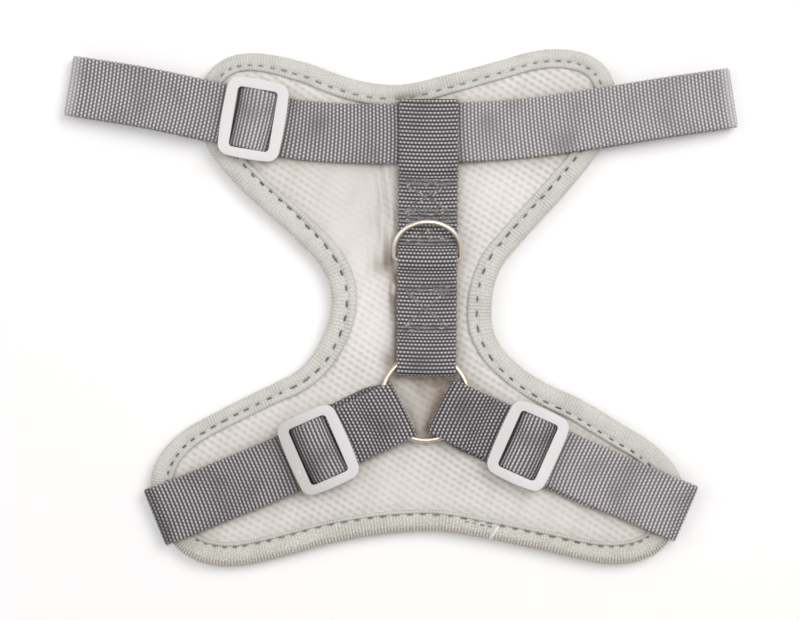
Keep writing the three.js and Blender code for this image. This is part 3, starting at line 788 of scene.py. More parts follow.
def back_profile():
    """The closed loop's side view: through the O-ring, over the D-ring's bar, round the neck strap."""
    def at(y):
        return y - BACK_BOTTOM_Y
    ring_bend = HALF_WEB + (OVER_RING - FIRST_LAYER) / 2
    top_bend = at(BACK_TOP_Y) - 0.95 - LAYER_PITCH
    ring = at(RING_IN_PLAN[1] + PAST_RING)
    bar = at(LEASH_BAR_Y)
    over_bar = FIRST_LAYER + 2 * (HALF_WEB + CLEAR + D_RING["wire"])
    return np.vstack([
        fold(top_bend, FIRST_LAYER, THIRD_LAYER, 1, True),
        [[at(47), THIRD_LAYER]],
        ramp(at(46.5), THIRD_LAYER, at(43.3), SECOND_LAYER),
        ramp(bar + 5, SECOND_LAYER, bar + 0.7, over_bar),
        ramp(bar - 0.7, over_bar, bar - 5, SECOND_LAYER),
        ramp(ring + 6, SECOND_LAYER, ring, OVER_RING),
        fold(ring_bend, FIRST_LAYER, OVER_RING, -1, False),
    ])


SEWN_BOXES = ((31, 42.6), (21.3, 30.2), (-7.5, 7.2))
BAND_HEIGHT = 1.9


def make_back_strap():
    def sewn(rows):
        # the sewn bands at both ends of each box flatten the ribs
        y = rows[:, 0] + BACK_BOTTOM_Y
        held = np.zeros(len(y))
        for low_y, high_y in SEWN_BOXES:
            for start in (low_y, high_y - BAND_HEIGHT):
                held = np.maximum(held, smoothstep(start - 0.5, start, y) * smoothstep(
                    start + BAND_HEIGHT + 0.5, start + BAND_HEIGHT, y))
        return held * (rows[:, 1] > FIRST_LAYER + 0.6)

    # painted shade: the back strap is a darker copy of the same webbing
    piece = webbing("back_web_loop", BACK, back_profile(), closed=True, sewn=sewn,
                    tone=lambda rows: toned(rows, 0.17, 0.15))
    place(piece, "back_web", "webbing", "back_strap")


def girth_profile(side):
    """From under the panel, round the fold, along the top, through the ring and back underneath."""
    end = GIRTH[side].length
    lower_end = LOWER_LAYER_END[side]
    bend = end - GIRTH_FOLD_RADIUS - HALF_WEB
    top = UNDER_LAYER + 2 * GIRTH_FOLD_RADIUS
    rise_from = max(lower_end, end - 37) + 10
    ring_bend = RING_FOLD[side] + (OVER_RING - FIRST_LAYER) / 2 + HALF_WEB
    return np.vstack([
        [[bend - 2, UNDER_LAYER]],
        fold(bend, UNDER_LAYER, top, 1, True, FOLD_FLATTER),
        ramp(rise_from, top, rise_from - 9, SECOND_LAYER),
        ramp(PAST_RING + 7, SECOND_LAYER, PAST_RING, OVER_RING),
        fold(ring_bend, FIRST_LAYER, OVER_RING, -1, False),
        [[lower_end, FIRST_LAYER]],
    ])


def make_girth(side):
    route = GIRTH[side]
    askew = LOWER_LAYER_ASKEW[side]

    def shift(rows):
        # the lower layer lies a little askew, so its edge shows beside the upper one
        lower = np.arange(len(rows)) > np.argmin(rows[:, 0])
        return askew * lower * smoothstep(8, 18, rows[:, 0])

    def tone(rows):
        s = rows[:, 0]
        upper = rows[:, 1] > FIRST_LAYER + 0.6
        turned = smoothstep(route.length - 5.5, route.length - 1.5, s)
        near_ring = smoothstep(44, 28, s)
        near, far, at_fold, pale = GIRTH_TONE[side]
        # painted shade near the ring, at the turned fold, on the lower layer under the upper one and
        # beside the slide; painted light further out
        dark = at_fold * turned + far + (near - far) * near_ring + 0.25 * ~upper * (s < 60)
        dark = dark + beside_slide(f"{side}_girth", route, s) * upper
        lines = (0.75 - 0.6 * near_ring) * (1 - 0.5 * turned)
        return toned(rows, dark, lines, pale * (1 - near_ring))

    piece = webbing(f"{side}_girth_web", route, girth_profile(side), shift=shift, tone=tone)
    blend_along(piece, route, route.length - GIRTH_FOLD_RADIUS - 2.8, 60)
    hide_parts(f"{side}_girth_loop", f"{side}_girth_run")
    anchor_start = route.length - GIRTH_FOLD_RADIUS - 2.5
    anchor_end = route.nearest(node_middle(f"{side}_girth_anchor")) - 20
    profile = [(anchor_start, UNDER_LAYER), (anchor_end, UNDER_LAYER)]
    anchor = webbing(f"{side}_anchor_web", route, profile, tone=lambda rows: toned(rows, lines=0.5))
    place(anchor, "chest_panel", "webbing", f"{side}_girth_anchor")


def make_web_over_bar(name, body, route):
    """The stretch of webbing that rises through a slide's window and over its bar."""
    middle = node_middle(f"{name}_slide")
    base = node_box(f"{name}_slide")[0][2]
    s = route.nearest(middle)
    crown = base + SLIDE["bar_lift"] + SLIDE["bar_thick"] + 0.8
    reach = SLIDE["window_along"] / 2 - 0.35
    profile = np.vstack([
        ramp(s - reach, base + 0.35, s - 1.6, crown + 0.05),
        ramp(s - 0.8, crown + 0.15, s + 0.8, crown + 0.15),
        ramp(s + 1.6, crown + 0.05, s + reach, base + 0.35),
    ])

    def tone(rows):
        # painted shade: the side that falls away from the ring lies in the frame's shade, and both ends
        # under its bars
        outward = (rows[:, 0] - s) / reach * (-1 if name == "neck" else 1)
        ends = smoothstep(reach - 1.8, reach - 0.4, np.abs(rows[:, 0] - s))
        dark, far, pale = SLIDE_LOOK[name]["window"]
        return toned(rows, dark + far * smoothstep(-0.2, 0.8, outward) + 0.5 * ends, 0.85, pale)

    piece = webbing(f"{name}_bar_web", route, profile, tone=tone)
    place(piece, body, "webbing", f"{name}_web_over_bar")


# ---- Slides ----

def rounded_outline(half_along, half_across, radius, bulge):
    """A rectangle with round corners and slightly bulging sides, always with the same count."""
    arc_steps, side_steps = 10, 12
    points = []
    corners = ((1, 1, 0), (-1, 1, 90), (-1, -1, 180), (1, -1, 270))
    for turn, (sign_x, sign_y, start) in enumerate(corners):
        for k in range(arc_steps + 1):
            angle = math.radians(start + 90 * k / arc_steps)
            points.append((sign_x * (half_along - radius) + radius * math.cos(angle),
                           sign_y * (half_across - radius) + radius * math.sin(angle)))
        here = np.array(points[-1])
        after = corners[(turn + 1) % 4]
        angle = math.radians(after[2])
        there = np.array((after[0] * (half_along - radius) + radius * math.cos(angle),
                          after[1] * (half_across - radius) + radius * math.sin(angle)))
        outward = np.array((math.cos(angle), math.sin(angle)))
        for k in range(1, side_steps):
            t = k / side_steps
            points.append(tuple(here + (there - here) * t + outward * bulge * 2 * t * (1 - t)))
    return np.array(points)


def frame_section(width, thick, edge, steps=5):
    """A bar's section with rounded edges: distances from the window's side, and heights."""
    centres = ((edge, thick - edge, 180, 90), (width - edge, thick - edge, 90, 0),
               (width - edge, edge, 0, -90), (edge, edge, 270, 180))
    points = []
    for centre_u, centre_z, start, end in centres:
        for k in range(steps + 1):
            angle = math.radians(start + (end - start) * k / steps)
            points.append((centre_u + edge * math.cos(angle), centre_z + edge * math.sin(angle)))
        if centre_z > thick / 2 and start == 180:
            for k in range(1, 6):      # a faint crown on the upper face
                t = k / 6
                points.append((edge + (width - 2 * edge) * t, thick + 0.10 * math.sin(math.pi * t)))
    return np.array(points)


def bar_block(length, width, thick, lift, edge=0.35, steps=4):
    """The hidden centre bar: a rounded section run across the window."""
    section = frame_section(width, thick, edge, steps) - np.array([width / 2, 0])
    ends = np.array([-length / 2, length / 2])
    points = [(u, y, z + lift) for y in ends for u, z in section]
    count = len(section)
    quads = tube_quads(2, count, False)
    middle = [len(points), len(points) + 1]
    points += [(0, y, lift + thick / 2) for y in ends]
    caps = []
    for row, hub in enumerate(middle):
        for j in range(0, count - 1, 2):
            caps.append((hub, row * count + j, row * count + j + 1, row * count + (j + 2) % count))
    return np.array(points), np.vstack([quads, caps])


def slide_frame():
    """The slide's frame and its centre bar, lying on z = 0 with the strap along +X."""
    inner = rounded_outline(SLIDE["window_along"] / 2, SLIDE["window_across"] / 2,
                            SLIDE["window_corner"], 0)
    outer = rounded_outline(SLIDE["along"] / 2, SLIDE["across"] / 2, SLIDE["corner"], SLIDE["bulge"])
    section = frame_section(1.0, SLIDE["thick"], SLIDE["edge"] / 3.5)
    share = section[:, 0][None, :, None]
    flat = inner[:, None, :] * (1 - share) + outer[:, None, :] * share
    rows, columns = flat.shape[:2]
    heights = np.broadcast_to(section[:, 1][None, :, None], (rows, columns, 1))
    frame_points = np.concatenate([flat, heights], axis=2).reshape(-1, 3)
    bar_points, bar_quads = bar_block(SLIDE["window_across"] + 2, SLIDE["bar_along"],
                                      SLIDE["bar_thick"], SLIDE["bar_lift"])
    quads = np.vstack([tube_quads(rows, columns, True), bar_quads + rows * columns])
    return np.vstack([frame_points, bar_points]), quads


def make_slide(name, body, route, gate_mark=False):
    points, quads = slide_frame()
    mark_shade = []
    if gate_mark:
        mark_at = ((SLIDE["along"] + SLIDE["window_along"]) / 4, 4.2)
        mark_points, mark_quads, mark_shade = gate_disc(mark_at, SLIDE["thick"] + 0.08)
        quads = np.vstack([quads, mark_quads + len(points)])
        points = np.vstack([points, mark_points])
    near, far = SLIDE_LOOK[name]["frame_shade"]
    # painted shade on the frame, changing from its near side to its far side
    frame_shade = np.zeros((len(points), 3))
    frame_shade[:, 0] = near + (far - near) * smoothstep(-SLIDE["along"] / 2, SLIDE["along"] / 2, points[:, 0])
    frame_shade[len(points) - len(mark_shade):, 0] = mark_shade
    middle = node_middle(f"{name}_slide")
    base = node_box(f"{name}_slide")[0][2]
    _, tangent, _ = route.at(route.nearest(middle))
    angle = math.atan2(tangent[1], tangent[0]) + math.radians(SLIDE_LOOK[name]["turn"])
    along = np.array([math.cos(angle), math.sin(angle), 0])
    across = np.array([-along[1], along[0], 0])
    world = (np.append(middle[:2], base) + points[:, :1] * along
             + points[:, 1:2] * across + points[:, 2:] * np.array([0, 0, 1]))
    piece = build_mesh(f"{name}_slide_frame", world, quads, PLASTIC, {"frame_shade": frame_shade})
    place(piece, body, "slide_plastic", f"{name}_slide")


def gate_disc(centre, height, radius=1.35, sides=28):
    """The little round mark that a mould's gate leaves: a raised rim round a dip, with its painted
    shade.
    """
    rings = ((radius + 0.15, -0.3, 0.3), (radius + 0.05, 0.06, 0.3), (radius - 0.12, 0.13, 0.1),
             (radius - 0.3, 0.0, 0.6), (radius * 0.6, 0.0, 0.3), (radius * 0.45, 0.0, 0.55),
             (radius * 0.35, 0.07, 0.1), (0.05, 0.07, 0.1), (0.05, -0.3, 0.1))
    angle = np.linspace(0, TURN, sides, endpoint=False)
    points = [np.column_stack([centre[0] + r * np.cos(angle), centre[1] + r * np.sin(angle),
                               np.full(sides, height + lift)]) for r, lift, _ in rings]
    frame_shade = np.repeat([frame_shade for _, _, frame_shade in rings], sides)
    return np.vstack(points), tube_quads(len(rings), sides, True), frame_shade


# ---- Rings ----

def wire_loop(name, loop, radius, place_point, material, sides=24):
    """Round wire carried along a closed flat loop, then placed."""
    loop = np.asarray(loop, float)
    along = np.roll(loop, -1, axis=0) - np.roll(loop, 1, axis=0)
    along /= np.linalg.norm(along, axis=1)[:, None]
    inward = np.column_stack([-along[:, 1], along[:, 0]])
    angle = np.linspace(0, TURN, sides, endpoint=False)
    flat = loop[:, None, :] + inward[:, None, :] * (radius * np.cos(angle))[None, :, None]
    height = np.broadcast_to((radius * np.sin(angle))[None, :, None], (*flat.shape[:2], 1))
    points = place_point(np.concatenate([flat, height], axis=2).reshape(-1, 3))
    travelled = np.cumsum(np.linalg.norm(np.diff(loop, axis=0, prepend=loop[:1]), axis=1))
    ply = np.zeros((len(loop), sides, 3))
    ply[..., 0] = travelled[:, None]
    ply[..., 1] = np.abs(angle - math.pi) / 2
    quads = tube_quads(len(loop), sides, True)
    return build_mesh(name, points, quads, material, {"ply": ply})


def make_rings():
    angle = np.linspace(0, TURN, 240, endpoint=False)
    circle = O_RING["radius"] * np.column_stack([np.cos(angle), np.sin(angle)])
    piece = wire_loop("joining_o_ring", circle, O_RING["wire"], lambda p: p + O_RING["centre"],
                      JOINING_NICKEL)
    place(piece, "joining_ring", "nickel", "o_ring")

    half, corner, arm = D_RING["half_width"], D_RING["corner"], D_RING["arm"]
    inner = half - corner
    bar = np.column_stack([np.linspace(-inner, inner, 60, endpoint=False), np.zeros(60)])
    turn = np.linspace(-math.pi / 2, 0, 14, endpoint=False)
    near = np.column_stack([inner + corner * np.cos(turn), corner + corner * np.sin(turn)])
    arm_side = np.column_stack([np.full(8, half), np.linspace(corner, arm, 8, endpoint=False)])
    arch = np.linspace(0, math.pi, 150)
    bow = np.column_stack([half * np.cos(arch), arm + (D_RING["depth"] - arm) * np.sin(arch)])
    mirrored = [(side * np.array([-1, 1]))[::-1] for side in (near, arm_side)]
    loop = np.vstack([bar, near, arm_side, bow, mirrored[1], mirrored[0]])
    axis_point = np.append(BACK.at(LEASH_BAR_Y - BACK_BOTTOM_Y)[0],
                           FIRST_LAYER + HALF_WEB + CLEAR + D_RING["wire"])
    tilt = math.radians(D_RING["tilt"])
    _, along, across = BACK.at(0.0)
    up = np.append(along * math.cos(tilt), math.sin(tilt))
    out = np.append(-along * math.sin(tilt), math.cos(tilt))
    right = np.append(-across, 0)
    piece = wire_loop("leash_d_ring", loop, D_RING["wire"], lambda p: (
        axis_point + p[:, :1] * right + p[:, 1:2] * up + p[:, 2:] * out), LEASH_NICKEL)
    place(piece, "leash_ring", "nickel", "d_ring")


# ---- Thread ----

def dashes(name, starts, ends, width, height, material, arch=0.12, bright=0.5, stations=9, sides=8):
    """Short stitches, each a thin rounded dash that dives into the cloth at both ends."""
    starts, ends = np.asarray(starts, float), np.asarray(ends, float)
    count = len(starts)
    bright = np.broadcast_to(bright, (count,))
    t = np.linspace(0, 1, stations)
    swell = np.sqrt(np.clip(1 - (2 * t - 1) ** 4, 0.02, 1))
    along = ends - starts
    length = np.linalg.norm(along, axis=1)
    along = along / length[:, None]
    across = np.column_stack([-along[:, 1], along[:, 0], np.zeros(count)])
    across /= np.linalg.norm(across, axis=1)[:, None]
    angle = np.linspace(0, TURN, sides, endpoint=False)
    centre = starts[:, None, :] + (ends - starts)[:, None, :] * t[None, :, None]
    centre[..., 2] += arch * np.sin(math.pi * t) - arch * 0.6
    offset = (across[:, None, None, :] * (np.cos(angle)[None, None, :, None] * width / 2)
              + np.array([0, 0, 1]) * (np.sin(angle)[None, None, :, None] * height / 2))
    points = centre[:, :, None, :] + offset * swell[None, :, None, None]
    one = tube_quads(stations, sides, False)
    caps = []
    for first in (0, (stations - 1) * sides):
        last = first + sides - 1
        caps += [(first + a, first + a + 1, last - 1 - a, last - a) for a in range(sides // 2 - 1)]
    caps = np.array(caps)
    caps[:len(caps) // 2] = caps[:len(caps) // 2, ::-1]
    one = np.vstack([one, caps])
    quads = np.concatenate([one + k * stations * sides for k in range(count)])
    ply = np.zeros(points.shape)
    ply[..., 0] = length[:, None, None] * t[None, :, None]
    ply[..., 1] = np.abs(angle - math.pi) / math.pi * 0.5
    ply[..., 2] = bright[:, None, None]
    return build_mesh(name, points, quads, material, {"ply": ply})


def stitched_line(random, from_point, to_point, height, pitch, share=0.75, jitter=0.2):
    """Start and end points of the stitches along one sewn line."""
    from_point, to_point = np.asarray(from_point, float), np.asarray(to_point, float)
    count = max(int(round(math.dist(from_point, to_point) / pitch)), 1)
    starts, ends = [], []
    for k in range(count):
        a = from_point + (to_point - from_point) * (k + (1 - share) / 2) / count
        b = from_point + (to_point - from_point) * (k + (1 + share) / 2) / count
        wander = random.normal(0, jitter, (2, 2))
        starts.append((*(a + wander[0]), height))
        ends.append((*(b + wander[1]), height))
    return starts, ends


SEWN_HALF_WIDTH = 7.6


def sewn_box(name, seed, box, node, cross_rows=1):
    """A box with a cross in it, sewn through both layers of the back strap."""
    random = np.random.default_rng(seed)
    from_y, to_y = box
    half = SEWN_HALF_WIDTH
    top = SECOND_LAYER + WEB_HALF_THICK + 0.13
    lines = []
    for row in range(3):
        inset = row * BAND_HEIGHT / 2
        lines.append(((-half, from_y + inset), (half, from_y + inset)))
        lines.append(((-half, to_y - inset), (half, to_y - inset)))
    for row in range(cross_rows):
        beside = row * 0.7
        lines.append(((-half + 1.2, from_y + 2 + beside), (half - 1.2, to_y - 2 + beside)))
        lines.append(((-half + 1.2, to_y - 2 - beside), (half - 1.2, from_y + 2 - beside)))
    starts, ends = [], []
    for a, b in lines:
        pitch = 1.8 if a[1] == b[1] else 1.9
        first, second = stitched_line(random, a, b, top, pitch)
        starts += first
        ends += second

    def on_strap(points):
        points = np.array(points)
        point, _, across = BACK.at(points[:, 1] - BACK_BOTTOM_Y)
        return np.column_stack([point - across * points[:, :1], points[:, 2]])

    # about one stitch in six catches the light
    bright = random.uniform(0.05, 0.3, len(starts)) + 0.45 * (random.random(len(starts)) < 0.16)
    piece = dashes(name, on_strap(starts), on_strap(ends), 0.46, 0.36, BOX_THREAD, bright=bright)
    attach(piece, "back_web")
    if node:
        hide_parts(node)


# ---- Binding ----

# Places round the panel's edge, and how far in the stitch line and the tape's inner edge lie there.
TAPE_LINES = (
    ((-81, -67), 6.4, 8.2), ((-66, -84), 6.7, 8.3), ((-32, -81), 6.5, 7.9), ((-2, -75), 6.0, 7.4),
    ((32, -78), 5.3, 6.9), ((58, -84), 5.6, 7.2), ((78, -85), 6.4, 7.8), ((92, -54), 6.2, 7.7),
    ((62, -32), 6.1, 7.7), ((37, -17), 5.0, 6.8), ((31, -3), 4.9, 8.3), ((35, 15), 4.9, 7.4),
    ((67, 53), 5.0, 7.6), ((59, 86), 4.2, 6.5), ((30, 82), 4.2, 6.2), ((-5, 75), 4.9, 7.3),
    ((-27, 80), 4.9, 7.0), ((-49, 85), 4.2, 6.0), ((-66, 77), 4.1, 6.0), ((-62, 50), 6.1, 8.0),
    ((-43, 30), 6.2, 8.2), ((-23, 5), 5.0, 8.4), ((-28, -12), 5.0, 7.6), ((-40, -24), 3.8, 6.4),
    ((-64, -36), 3.9, 6.2), ((-76, -44), 4.3, 6.4), ((-84, -57), 5.6, 7.6),
)


def tape_line(distance, column):
    """One column of the table above, softened, at these distances round the panel's edge."""
    at = [EDGE.nearest(np.array(row[0]) + PLAN_ORIGIN) for row in TAPE_LINES]
    inset = [row[column] for row in TAPE_LINES]
    around = [np.interp(distance + near, at, inset, period=EDGE.length) for near in (-6, -3, 0, 3, 6)]
    return sum(around) / len(around)


def stitch_count():
    return int(round(EDGE.length / TAPE_STITCH_PITCH))


def stitch_inset(distance):
    return tape_line(distance, 1)


def tape_reach(distance):
    return tape_line(distance, 2)


# The tape's upper side: insets, and heights over the panel's top face.
TAPE_TOP = (
    (TAPE_INNER, -0.35), (8.5, 0.0), (8.2, 0.32), (7.6, 0.52), (6.9, 0.55), (6.3, 0.36), (5.9, 0.06),
    (TAPE_GROOVE, -0.1), (5.1, 0.0), (4.6, 0.2), (3.8, 0.34), (2.8, 0.38), (1.9, 0.26), (1.1, -0.05),
    (0.5, -0.5), (0.12, -1.1),
)


def tape_section():
    """The tape's section: insets and heights over the panel's middle, from its inner top end round."""
    half = (PANEL_TOP - PANEL_BOTTOM) / 2
    top = [(inset, half + lift) for inset, lift in TAPE_TOP]
    bottom = [(inset, -half - min(lift, 0.05) * 0.6) for inset, lift in TAPE_TOP[::-1]]
    outside = catmull_rom([*top, (0, 0.4), (0, -0.4), *bottom], closed=False, steps=2)
    inside = np.array([(8.2, -half + 0.5), (4.0, -half + 0.6), (1.4, -half + 0.8), (0.8, -0.6),
                       (0.8, 0.6), (1.4, half - 0.8), (4.0, half - 0.75), (8.2, half - 0.45)])
    return np.vstack([outside, inside]), len(outside)


def lap(distance, inset):
    """Where the tape's end laps over its beginning, and the roll of its folded end."""
    joint = EDGE.nearest(PLAN_ORIGIN + TAPE_JOINT)
    past = distance - joint - 0.42 * inset
    over = smoothstep(0.15, -0.25, past) * smoothstep(-16, -9, past)
    roll = np.exp(-((past + 0.45) / 0.4) ** 2)
    return 0.28 * over + 0.3 * roll, roll


def tape_shade(flat, distance, inset, groove, above):
    """How deep the straps' and the stitches' painted shade on the tape is, and how much painted shading
    its bottom edge has.
    """
    bottom_shading = smoothstep(-58, -76, flat[..., 1] - PLAN_ORIGIN[1])
    stitch_turns = distance * stitch_count() / EDGE.length - 0.5
    at_stitch = 0.5 + 0.5 * np.cos(TURN * stitch_turns)[:, None]
    round_stitch = (0.12 + 0.38 * bottom_shading) * groove * at_stitch * above
    shaded = np.zeros((*above.shape, 3))
    shaded[above, 0] = strap_shade(flat[above])
    shaded[..., 0] = np.maximum(shaded[..., 0], round_stitch)
    shaded[..., 1] = bottom_shading * (0.5 + 0.7 * smoothstep(3.4, 0.8, inset))
    return shaded


def make_binding():
    section, outside_count = tape_section()
    rows = int(EDGE.length / TAPE_RIB) * ROWS_PER_RIB
    distance = np.arange(rows) * EDGE.length / rows
    weave = distance * (rows / ROWS_PER_RIB * TAPE_RIB / EDGE.length)
    point, _, inward = EDGE.at(distance)
    line = stitch_inset(distance)[:, None]
    inset = section[:, 0][None, :]
    reach = tape_reach(distance)[:, None]
    # the drawn section is stretched so that its groove lies on the stitch line
    beyond = (inset - TAPE_GROOVE) / (TAPE_INNER - TAPE_GROOVE)
    inset = np.where(inset < TAPE_GROOVE, inset * line / TAPE_GROOVE, line + beyond * (reach - line))
    height = np.broadcast_to(section[:, 1][None, :], inset.shape).copy()
    # ribs, and puckers along the stitched groove
    outside = (np.arange(len(section)) < outside_count)[None, :]
    groove = np.exp(-((inset - line) / GROOVE_HALF_WIDTH) ** 2)
    pucker = 0.5 + 0.5 * np.cos(TURN * distance / TAPE_STITCH_PITCH)[:, None]
    rib = TAPE_RIB_HEIGHT * np.cos(TURN * weave / TAPE_RIB)[:, None] * (1 - 0.8 * groove) * outside
    upward = np.sign(height) * smoothstep(0.6, 1.6, np.abs(height))
    sideways = 1 - np.abs(upward)
    soft = 0.10 * np.sin(distance / 7.3)[:, None] + 0.07 * np.sin(distance / 2.9 + 1)[:, None]
    raised, end_highlight = lap(distance[:, None], inset)
    extra = raised * outside * (height > 0)
    height = height + upward * rib + np.where(height > 0, extra - 0.12 * groove * pucker + soft * 0.6, 0)
    inset = inset - sideways * (rib - 0.05) * outside
    flat = point[:, None, :] + inward[:, None, :] * inset[..., None]
    middle = (PANEL_TOP + PANEL_BOTTOM) / 2
    points = np.concatenate([flat, (height + middle)[..., None]], axis=2)
    tape = np.zeros(points.shape)
    tape[..., 0] = weave[:, None]
    tape[..., 1] = np.arange(len(section))[None, :] * 0.6
    # painted highlight along the roll of the lapped end
    tape[..., 2] = end_highlight * outside * (height > 0) * smoothstep(line + 0.2, line - 0.4, inset)
    above = np.broadcast_to(outside, points.shape[:2]) & (height > 0.5)
    shaded = tape_shade(flat, distance, inset, groove, above)
    quads = tube_quads(*points.shape[:2], True)
    piece = build_mesh("edge_tape", points, quads, TAPE, {"tape": tape, "shade": shaded})
    place(piece, "chest_panel", "binding_tape", "edge_binding")


def make_binding_stitches():
    count = stitch_count()
    random = np.random.default_rng(11)
    joint = EDGE.nearest(PLAN_ORIGIN + TAPE_JOINT)
    middle = (np.arange(count) + 0.5) * EDGE.length / count + random.normal(0, 0.15, count)
    length = 1.95 + random.normal(0, 0.3, count)
    inset = stitch_inset(middle) + random.normal(0, 0.07, count)
    second = np.arange(joint - 9, joint - 1, 2.6)      # the lapped end is sewn twice
    middle = np.concatenate([middle, second])
    length = np.concatenate([length, np.full(len(second), 1.7)])
    inset = np.concatenate([inset, stitch_inset(second) - 1.0])
    slant = random.normal(0, 0.12, len(inset))
    for name, node, height, sign in (
            ("tape_stitches_top", "binding_stitch_inner", PANEL_TOP + 0.16, 1),
            ("tape_stitches_under", "binding_stitch_outer", PANEL_BOTTOM - 0.12, -1)):
        ends = []
        for way in (-0.5, 0.5):
            point, _, inward = EDGE.at(middle + way * length)
            lift = height + np.where(np.arange(len(middle)) >= count, 0.25 * sign, 0)
            ends.append(np.column_stack([point + inward * (inset + way * slant)[:, None], lift]))
        y = EDGE.at(middle)[0][:, 1] - PLAN_ORIGIN[1]
        paler = 0.75 * smoothstep(50, 72, y) + 0.3 * smoothstep(-60, -74, y)
        bright = random.uniform(0.0, 0.5, len(middle)) + paler
        piece = dashes(name, ends[0], ends[1], 0.55, 0.36, TAPE_THREAD, arch=0.1 * sign, bright=bright)
        place(piece, "chest_panel", "thread", node)


# ---- Panel ----

def inside_outline(points, outline):
    """True for each point that lies inside a closed outline."""
    inside = np.zeros(len(points), bool)
    x, y = points[:, 0], points[:, 1]
    for (x1, y1), (x2, y2) in zip(outline, np.roll(outline, -1, axis=0)):
        if y1 == y2:
            continue
        crosses = (y1 > y) != (y2 > y)
        inside ^= crosses & (x < (x2 - x1) * (y - y1) / (y2 - y1) + x1)
    return inside


def outline_at(inset, spacing):
    distance = np.linspace(0, EDGE.length, int(EDGE.length / spacing), endpoint=False)
    point, _, inward = EDGE.at(distance)
    return point + inward * inset


class Sheet:
    """A square grid cut to the panel's shape, with its rim drawn onto the outline."""

    def __init__(self, inset, pitch):
        self.outline = outline_at(inset, pitch * 0.5)
        low, high = self.outline.min(0) - pitch, self.outline.max(0) + pitch
        self.x = np.arange(low[0], high[0], pitch)
        self.y = np.arange(low[1], high[1], pitch)
        middles = (self.x[:-1] + pitch / 2, self.y[:-1] + pitch / 2)
        centre = np.stack(np.meshgrid(*middles, indexing="ij"), -1)
        cells = inside_outline(centre.reshape(-1, 2), self.outline).reshape(centre.shape[:2])
        used = np.zeros((len(self.x), len(self.y)), int)
        for di in (0, 1):
            for dj in (0, 1):
                used[di:di + cells.shape[0], dj:dj + cells.shape[1]] += cells
        self.index = np.full(used.shape, -1)
        self.index[used > 0] = np.arange(np.count_nonzero(used))
        self.grid_place = np.argwhere(used > 0)
        self.rim = used[used > 0] < 4
        grid = np.stack(np.meshgrid(self.x, self.y, indexing="ij"), -1)
        self.points = grid[used > 0]
        near, gap = nearest_of(self.outline, self.points[self.rim])
        on_rim = np.flatnonzero(self.rim)[gap < pitch * 1.5]
        self.points[on_rim] = self.outline[near[gap < pitch * 1.5]]
        i, j = np.nonzero(cells)
        corner = [self.index[i, j], self.index[i + 1, j], self.index[i + 1, j + 1], self.index[i, j + 1]]
        self.quads = np.stack(corner, -1)

    def rim_edges(self):
        """The grid's open edges, each walked the way its one face walks it."""
        edges = np.concatenate([self.quads[:, [k, (k + 1) % 4]] for k in range(4)])
        keys = {(a, b) for a, b in edges}
        return np.array([e for e in keys if (e[1], e[0]) not in keys])

    def closed(self, top, bottom):
        """Points and faces of a closed pad between two height fields."""
        count = len(self.points)
        points = np.vstack([np.column_stack([self.points, height]) for height in (top, bottom)])
        rim = np.array(sorted(map(tuple, self.rim_edges())))
        walls = np.stack([rim[:, 1], rim[:, 0], rim[:, 0] + count, rim[:, 1] + count], -1)
        return points, np.vstack([self.quads, self.quads[:, ::-1] + count, walls])

    def spread(self, values):
        """A value for each point as a rectangular field, 0 outside the sheet."""
        field = np.zeros(self.index.shape)
        field[tuple(self.grid_place.T)] = values
        return field

    def sample(self, field, points):
        """Reads a field between its grid places."""
        u = (points[:, 0] - self.x[0]) / (self.x[1] - self.x[0])
        v = (points[:, 1] - self.y[0]) / (self.y[1] - self.y[0])
        i = np.clip(u.astype(int), 0, field.shape[0] - 2)
        j = np.clip(v.astype(int), 0, field.shape[1] - 2)
        fu, fv = u - i, v - j
        fu, fv = fu * fu * (3 - 2 * fu), fv * fv * (3 - 2 * fv)
        low = field[i, j] * (1 - fu) + field[i + 1, j] * fu
        high = field[i, j + 1] * (1 - fu) + field[i + 1, j + 1] * fu
        return low * (1 - fv) + high * fv


def covered(points):
    """How much each point of the panel is pressed by a strap lying on it, 0 to 1."""
    pressed = np.zeros(len(points))
    for route in (NECK, BACK, GIRTH["left"], GIRTH["right"]):
        line = route.line[::4]
        for k in range(0, len(points), 20000):
            part = points[k:k + 20000]
            gap = np.min(np.linalg.norm(part[:, None, :] - line[None], axis=2), axis=1)
            pressed[k:k + 20000] = np.maximum(pressed[k:k + 20000], smoothstep(14, 9, gap))
    return pressed


CLOTH_PITCH = 4.5
CLOTH_CAP = 1.3


def inflated_heights():
    """A coarse pad of the panel's shape, inflated by a cloth simulation: how far its top rises."""
    sheet = Sheet(7.5, CLOTH_PITCH)
    count = len(sheet.points)
    points, quads = sheet.closed(np.full(count, PANEL_TOP), np.full(count, PANEL_BOTTOM))
    pad = build_mesh("coarse_pad", points, quads, LINING)
    pinned = pad.vertex_groups.new(name="pinned")
    pinned.add([int(k) for k in np.flatnonzero(sheet.rim)], 1.0, "REPLACE")
    pinned.add([int(k) for k in range(count, 2 * count)], 1.0, "REPLACE")
    cloth = pad.modifiers.new("cloth", "CLOTH")
    cloth.settings.vertex_group_mass = "pinned"
    cloth.settings.use_pressure = True
    cloth.settings.uniform_pressure_force = 4
    cloth.settings.shrink_min = -0.02
    cloth.settings.effector_weights.gravity = 0
    cloth.settings.quality = 6
    cloth.collision_settings.use_collision = False
    cloth.point_cache.frame_end = 20
    scene = bpy.context.scene
    for step in range(1, 21):
        scene.frame_set(step)
    shown = pad.evaluated_get(bpy.context.evaluated_depsgraph_get())
    heights = np.array([v.co.z / MM for v in shown.data.vertices][:count]) - PANEL_TOP
    scene.frame_set(1)
    bpy.data.objects.remove(pad)
    return sheet, sheet.spread(np.clip(heights, -0.3, CLOTH_CAP))


